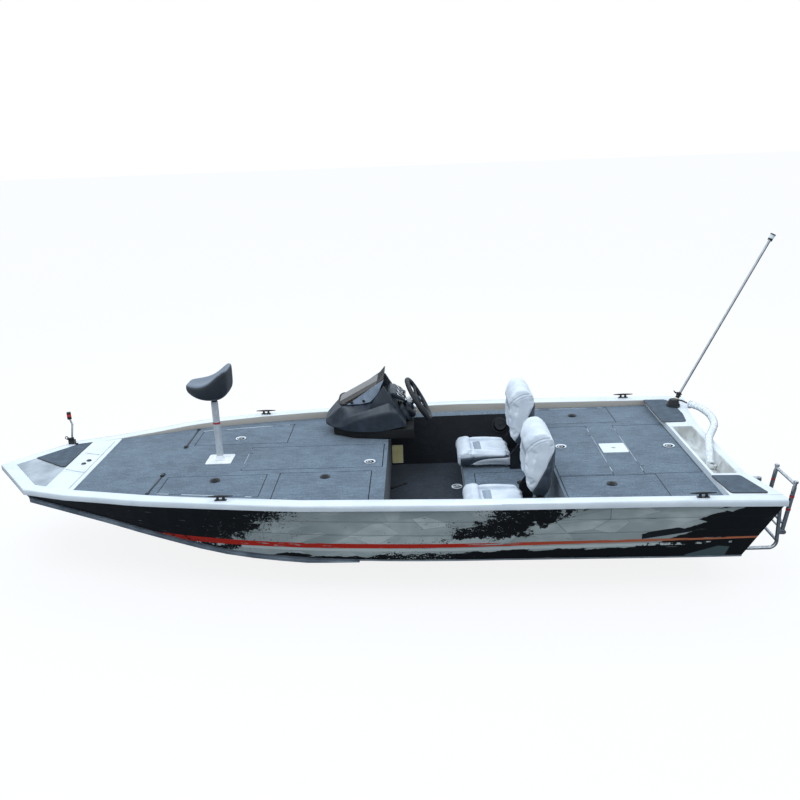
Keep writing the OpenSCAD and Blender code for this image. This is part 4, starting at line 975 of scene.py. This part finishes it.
# Elastic rod straps: a flat webbing from a small saddle to a hooked buckle
def makeStraps():
    for side, outer, inner in straps["places"]:
        a, b = Vector(outer + (deckZ,)), Vector(inner + (deckZ,))
        run = b - a
        turn = (0, 0, math.atan2(run.y, run.x))
        along = run.normalized()
        web = brick((run.length, straps["width"], straps["thick"]), (a + b) / 2 + lift(0.002), turn)
        saddleEnd = brick((0.026, 0.022, 0.006), a + lift(0.003), turn)
        buckle = brick((0.030, 0.024, 0.011), b - along * 0.012 + lift(0.0055), turn)
        hook = hoop(0.010, 0.0028, b + along * 0.010 + lift(0.005))
        assemble([web, saddleEnd, buckle, hook], "rod_strap_" + side, "hull", 0.001)
    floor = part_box("cockpit_floor")[1][2]
    a, b = Vector((0.205, 0.262, floor)), Vector((0.300, 0.335, floor))
    turn = (0, 0, math.atan2(b.y - a.y, b.x - a.x))
    web = brick(((b - a).length, 0.014, 0.004), (a + b) / 2 + lift(0.002), turn)
    ends = [brick((0.022, 0.020, 0.007), p + lift(0.0035), turn) for p in (a, b)]
    assemble([web] + ends, "floor_strap", "hull", 0.001)
    say("straps made")


bow = dict(plugs=[(-1.887, 0.034), (-1.902, -0.025)], seams=[((-1.973, 0.193), (-1.851, 0.145)),
                                                            ((-1.990, -0.116), (-1.840, -0.186))],
           lip=(-1.806, -0.452, 0.412), groove=-1.836)


# Bow panel: two rubber plugs, butt seams, and the upstand along its aft edge
def dressBow():
    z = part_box("bow_panel")[1][2]
    parts = []
    for x, y in bow["plugs"]:
        plug = rod(0.017, 0.005, (x, y, z + 0.0022), finish="black", head=0.0155)
        pick(plug, lambda c, n: n.z > 0.9)
        bpy.ops.mesh.inset(thickness=0.004)
        bpy.ops.transform.translate(value=(0, 0, -0.002))
        bpy.ops.object.mode_set(mode="OBJECT")
        parts.append(plug)
    assemble(parts, "panel_plugs", "hull", 0.0006)
    parts = []
    for a, b in bow["seams"] + [((bow["groove"], bow["lip"][1]), (bow["groove"], bow["lip"][2]))]:
        a, b = Vector(a + (z,)), Vector(b + (z,))
        turn = (0, 0, math.atan2(b.y - a.y, b.x - a.x))
        parts.append(brick(((b - a).length, 0.0025, 0.0012), (a + b) / 2, turn, "seamGrey"))
    assemble(parts, "panel_seams", "hull")
    say("bow dressed")


# Places a point on the steering shaft: metres back from the wheel's middle, up its face, and to starboard
def onShaft(back, up=0.0, side=0.0):
    joint = next(j for j in frame["record"]["behaviour"]["joints"] if j["name"] == "steering")
    axis = Vector(joint["axis"])
    rise = Vector((-axis.z, 0, axis.x))
    return Vector(joint["pos_m"]) - axis * back + rise * up + Vector((0, side, 0))


# The console's moulding, in millimetres from the gunwale datum. Each row: x, then half-breadth and height of
# the lower edge, the lower crease, the upper crease, the shoulder and the top; None lies on the dash
moulding = dict(middle=565, rows=[
    (-273, (92, 38), (104, 48), (104, 60), (88, 72), (45, 78)),
    (-244, (138, 33), (148, 42), (146, 56), (124, 98), (66, 110)),
    (-195, (170, 28), (178, 34), (170, 44), (152, 146), (80, 164)),
    (-150, (205, 26), (210, 40), (196, 80), (163, 188), (86, 194)),
    (-107, (236, 24), (236, 62), (226, 114), (157, 189), (86, 196)),
    (-55, (250, 21), (247, 101), (229, 138), (152, 190), (92, 198)),
    (60, (262, 18), (253, 130), (222, 172), (147, 200), (100, 206)),
    (130, (265, 20), (255, 147), (216, 196), (150, 222), (100, 228)),
    (205, (266, 34), (257, 160), (214, 211), (163, None), (120, None)),
    (262, (266, 47), (256, None), (216, None), (165, None), (120, None)),
    (320, (265, 56), (264, None), (225, None), (165, None), (120, None))],
    along=(1.0, 0.75, 0.8, 0.55, 0.3), across={0: 0.5, 4: 0.35, 8: 0.9, 10: 1.0},
    cheeks=[(178, 60, 214, 163), (240, 98, 205, 165), (275, 122, 195, 166), (332, 163, 187, 169)],
    hood=[(150, 226), (190, 262), (236, 266), (322, 204), (312, 196), (262, 214), (206, 236)],
    hoodY=(448, 690),
    plinth=[(-214, 128), (-62, 217), (168, 262), (374, 262)], plinthZ=(-40, 34))


# A closed skin through rings of points, with the sharpness of its edges along and across the rings
def skin(name, rings, along=None, across=None, levels=0):
    mesh = bmesh.new()
    bridge(mesh, [[mesh.verts.new(p) for p in ring] for ring in rings])
    piece = newPiece(name, mesh)
    if along:
        n = len(rings[0])
        crease = piece.data.attributes.new("crease_edge", "FLOAT", "EDGE")
        for edge in piece.data.edges:
            a, b = edge.vertices
            crease.data[edge.index].value = across.get(a // n, 0.0) if a // n == b // n else along[a % n]
    if levels:
        modify(piece, "SUBSURF", levels=levels, render_levels=levels)
    return piece


def makeConsole():
    m = moulding
    seat, axis = onShaft(0.140), (onShaft(0) - onShaft(1)).normalized()

    def dashZ(x):
        return (seat.z - gunwaleZ) * 1000 - (x - seat.x * 1000) * axis.x / axis.z

    def at(x, y, z):
        return Vector((x, m["middle"] + y, dashZ(x) if z is None else z)) / 1000 + lift(gunwaleZ)

    rings = [[at(row[0], -y, z) for y, z in row[1:]] + [at(row[0], y, z) for y, z in reversed(row[1:])]
             for row in m["rows"]]
    parts = [skin("shell", rings, m["along"] + tuple(reversed(m["along"])), m["across"], 3)]
    for side in (-1, 1):
        rings = []
        for z, fore, outer, inner in m["cheeks"]:
            aft = (seat.x - (z / 1000 + gunwaleZ - seat.z) * axis.z / axis.x) * 1000
            rings.append([at(fore, side * inner, z), at(fore, side * outer, z), at(aft, side * outer, z),
                          at(aft, side * inner, z)])
        cheek = skin("cheek", rings)
        modify(cheek, "BEVEL", width=0.004, segments=3, limit_method="ANGLE", angle_limit=math.radians(30))
        parts.append(cheek)
    hood = skin("hood", [[at(x, y - m["middle"], z) for x, z in m["hood"]] for y in m["hoodY"]])
    modify(hood, "BEVEL", width=0.006, segments=3, limit_method="ANGLE", angle_limit=math.radians(25))
    parts.append(hood)
    for part in parts:
        part.data.materials.append(finishes["console"])
    outline = m["plinth"] + [(x, -y) for x, y in reversed(m["plinth"])]
    plinth = skin("plinth", [[at(x, y, z) for x, y in outline] for z in m["plinthZ"]])
    modify(plinth, "BEVEL", width=0.008, segments=3, limit_method="ANGLE", angle_limit=math.radians(25))
    plinth.data.materials.append(finishes["hollow"])
    piece = assemble(parts + [plinth], "console_moulding", "hull", smooth=40)
    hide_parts("console")
    say("console made")


console = dict(middle=0.565, gasket=0.0055, hoodFace=((0.236, 0.266), (0.322, 0.204)),
               dials=(-0.085, 0.0, 0.085), dialSize=0.029, markTurn=30, markReach=0.022, screenFoot=[
                   (0.126, 0.414, 0.222), (0.100, 0.414, 0.218), (-0.020, 0.418, 0.206),
                   (-0.132, 0.421, 0.197), (-0.158, 0.440, 0.198), (-0.170, 0.480, 0.199),
                   (-0.172, 0.565, 0.199)])


def dressConsole():
    c = console
    axis = (onShaft(0) - onShaft(1)).normalized()
    near = [Vector((x, y, gunwaleZ + z)) for x, y, z in c["screenFoot"]]
    far = [Vector((p.x, 2 * c["middle"] - p.y, p.z)) for p in reversed(near[:-1])]
    rubber = tube("screen_gasket", smoothPath([tuple(p) for p in near + far], 0.012), c["gasket"], 10)
    settle(rubber, "screen_gasket", "hull", "black", smooth=60)
    knobs = []
    for side in (-1, 1):
        y = c["middle"] + side * 0.158
        for x, z in ((-0.068, 0.213), (0.018, 0.222)):
            place = Vector((x, y + side * 0.004, gunwaleZ + z))
            knobs.append(rod(0.010, 0.010, place, (0, side, 0), sides=20))
            knobs.append(rod(0.0055, 0.016, place, (0, side, 0), sides=12))
    assemble(knobs, "screen_knobs", "hull", 0.0012)
    # Dials let into the hood's sloping face
    (x0, z0), (x1, z1) = c["hoodFace"]
    normal = Vector((z0 - z1, 0, x1 - x0)).normalized()
    slope = Vector((x1 - x0, 0, z1 - z0)).normalized()
    centre = Vector(((x0 + x1) / 2, c["middle"], gunwaleZ + (z0 + z1) / 2))
    for number, dy in enumerate(c["dials"]):
        p = centre + Vector((0, dy, 0))
        parts = [rod(c["dialSize"], 0.005, p + normal * 0.002, normal, "dialFace", sides=40),
                 hoop(c["dialSize"] + 0.0005, 0.0028, p + normal * 0.004, normal, "stainless"),
                 rod(0.0035, 0.006, p + normal * 0.005, normal, "black", sides=12)]
        for k in range(9):
            a = math.radians((k - 4) * c["markTurn"])
            mark = -slope * math.cos(a) + Vector((0, 1, 0)) * math.sin(a)
            place = p + normal * 0.0048 + mark * c["markReach"]
            parts.append(rod(0.0009, 0.006, place, mark, "whitePlate", sides=6))
        needle = (-slope * 0.8 + Vector((0, 0.4, 0))).normalized()
        place = p + normal * 0.0062 + needle * 0.008
        parts.append(rod(0.0014, 0.018, place, needle, "red", head=0.0005, sides=8))
        assemble(parts, "dial_%d" % (number + 1), "hull")
    # Rocker switches on the dash face, to starboard of the wheel
    turn = axis.to_track_quat("Z", "Y").to_euler()
    plate = onShaft(0.140, 0.030, 0.172)
    parts = [brick((0.086, 0.062, 0.005), plate, turn)]
    rise = onShaft(0, 1) - onShaft(0)
    for k in (-1, 0, 1):
        parts.append(brick((0.018, 0.034, 0.010), plate + rise * 0.026 * k + axis * 0.004, turn, "wheel"))
        parts.append(brick((0.003, 0.003, 0.011), plate + rise * 0.026 * k + axis * 0.0045, turn, "red"))
    parts.append(rod(0.013, 0.010, plate - rise * 0.062 + axis * 0.004, axis, "stainless"))
    parts.append(brick((0.003, 0.014, 0.012), plate - rise * 0.062 + axis * 0.006, turn, "black"))
    assemble(parts, "switch_panel", "hull", 0.001)
    # Tilt helm: a bright bracket over the shaft, its lever, and the trim lever under it
    bracket = brick((0.046, 0.040, 0.030), onShaft(0.062, 0.028), turn, "bright")
    neck = rod(0.013, 0.030, onShaft(0.045, 0.016), axis, "stainless")
    lever = rod(0.0035, 0.058, onShaft(0.072, 0.066), rise + axis * 0.15, "stainless", sides=14)
    tip = rod(0.006, 0.012, onShaft(0.068, 0.098), rise, "black", sides=16)
    under = rod(0.005, 0.052, onShaft(0.080, -0.072), axis + rise * 0.25, "stainless", sides=14)
    assemble([bracket, neck, lever, tip, under], "tilt_bracket", "hull", 0.002)
    cap = rod(0.026, 0.009, onShaft(-0.008), axis, "wheel", head=0.021, sides=40)
    badge = rod(0.013, 0.004, onShaft(-0.014), axis, "greyPlate", sides=32)
    assemble([cap, badge], "wheel_cap", "steering_wheel", 0.0015)
    say("console dressed")


# The middle of the face of a wall fitting that looks into the boat, the way it looks, and up along it
def faceOf(node):
    mesh = frame["nodes"][node].data
    out = max((p for p in mesh.polygons if p.normal.y < -0.3), key=lambda p: p.area).normal.copy()
    reach = max(v.co.dot(out) for v in mesh.vertices)
    face = [v.co for v in mesh.vertices if v.co.dot(out) > reach - 0.0002]
    middle = Vector([(min(p[i] for p in face) + max(p[i] for p in face)) / 2 for i in range(3)])
    return middle, out, Vector((0, out.z, -out.y))


def dressFittings():
    # Flush ring in the cockpit floor, with its cross bar
    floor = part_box("cockpit_floor")[1][2]
    place = Vector((0.675, 0.257, floor))
    parts = [hoop(0.036, 0.0045, place + lift(0.002), finish="whitePlate"),
             rod(0.034, 0.002, place + lift(0.001), finish="hollow"),
             rod(0.004, 0.068, place + lift(0.004), (1, 0.15, 0), "whitePlate", sides=12),
             rod(0.009, 0.006, place + lift(0.004), finish="whitePlate", sides=20)]
    assemble(parts, "floor_ring", "hull")
    # Blank sign plate: a raised border and four rivets
    middle, out, up = faceOf("sign_plate")
    turn = Matrix((Vector((1, 0, 0)), up, out)).transposed().to_euler()
    parts = []
    for s in (-1, 1):
        parts.append(brick((0.084, 0.005, 0.0016), middle + up * 0.0675 * s, turn, "ivory"))
        parts.append(brick((0.005, 0.130, 0.0016), middle + Vector((0.0395 * s, 0, 0)), turn, "ivory"))
        for k in (-1, 1):
            rivet = middle + up * 0.060 * s + Vector((0.033 * k, 0, 0))
            parts.append(rod(0.0032, 0.0022, rivet, out, "stainless", head=0.0022, sides=16))
    assemble(parts, "sign_border", "hull", 0.0004)
    # Pod on the cockpit wall: a rolled rim, rings and a dome
    middle, out, up = faceOf("wall_pod")
    parts = [hoop(r, width, middle, out) for r, width in ((0.041, 0.0045), (0.029, 0.002), (0.018, 0.002))]
    parts.append(rod(0.012, 0.008, middle + out * 0.003, out, "wheel", head=0.006))
    assemble(parts, "pod_rings", "hull")
    # Ribs of the rigging boot, and the hose's collars
    boot = Vector((2.352, 0.742, gunwaleZ))
    ribs = [hoop(r, 0.0035, boot + lift(z), sides=48)
            for r, z in ((0.0485, 0.012), (0.0435, 0.020), (0.0395, 0.033), (0.0345, 0.042), (0.029, 0.052))]
    assemble(ribs, "boot_ribs", "hull")
    route = [Vector(p) for p in hose["route"]]
    ends = []
    for a, b, back in ((route[-2], route[-1], 0.30), (route[0], route[1], 0.9)):
        run = (b - a).normalized()
        ends.append(hoop(hose["diameter"] / 2 + 0.0035, 0.0042, a.lerp(b, 1 - back), run, "bright", sides=48))
    assemble(ends, "hose_collars", "hull")
    # Bow light: clamp knob at its foot and collar
    foot = bowLightFoot
    parts = [rod(0.010, 0.020, foot + Vector((-0.022, 0, 0.038)), (-1, 0, 0.3), sides=16),
             hoop(0.010, 0.003, foot + Vector((-0.036, 0, 0.046)), (0, 1, 0), sides=20),
             rod(0.012, 0.006, foot + Vector((0.036, -0.010, 0.002)), sides=20)]
    assemble(parts, "bow_light_clamp", "hull", 0.001)
    # Stern light: ivory collar and wing screw
    foot, pole = sternLight["foot"], sternLight["pole"].normalized()
    parts = [rod(0.018, 0.016, foot + pole * 0.012, pole, "ivory"),
             rod(0.006, 0.030, foot + pole * 0.052 + Vector((-0.018, 0, 0.008)), (-1, 0, 0.5), sides=14),
             brick((0.006, 0.026, 0.020), foot + pole * 0.052 + Vector((-0.036, 0, 0.018)), (0, -0.5, 0)),
             hoop(0.017, 0.0035, foot + pole * 0.040, pole),
             hoop(0.017, 0.0035, foot + pole * 0.058, pole)]
    assemble(parts, "stern_light_clamp", "hull", 0.001)
    say("fittings made")


placeCamera()
lightStudio()
layFloor()
finishes.update(makeFinishes())
dressFrame()
layHose()
makeSeats()
makeSaddle()
makeConsole()
soften("steering_boss", "console", 0.002)
soften("gunwale_port", "white", 0.008)
soften("gunwale_starboard", "white", 0.008)
makeLatches()
makeHinges()
makeMats()
makeStraps()
dressBow()
dressConsole()
dressFittings()
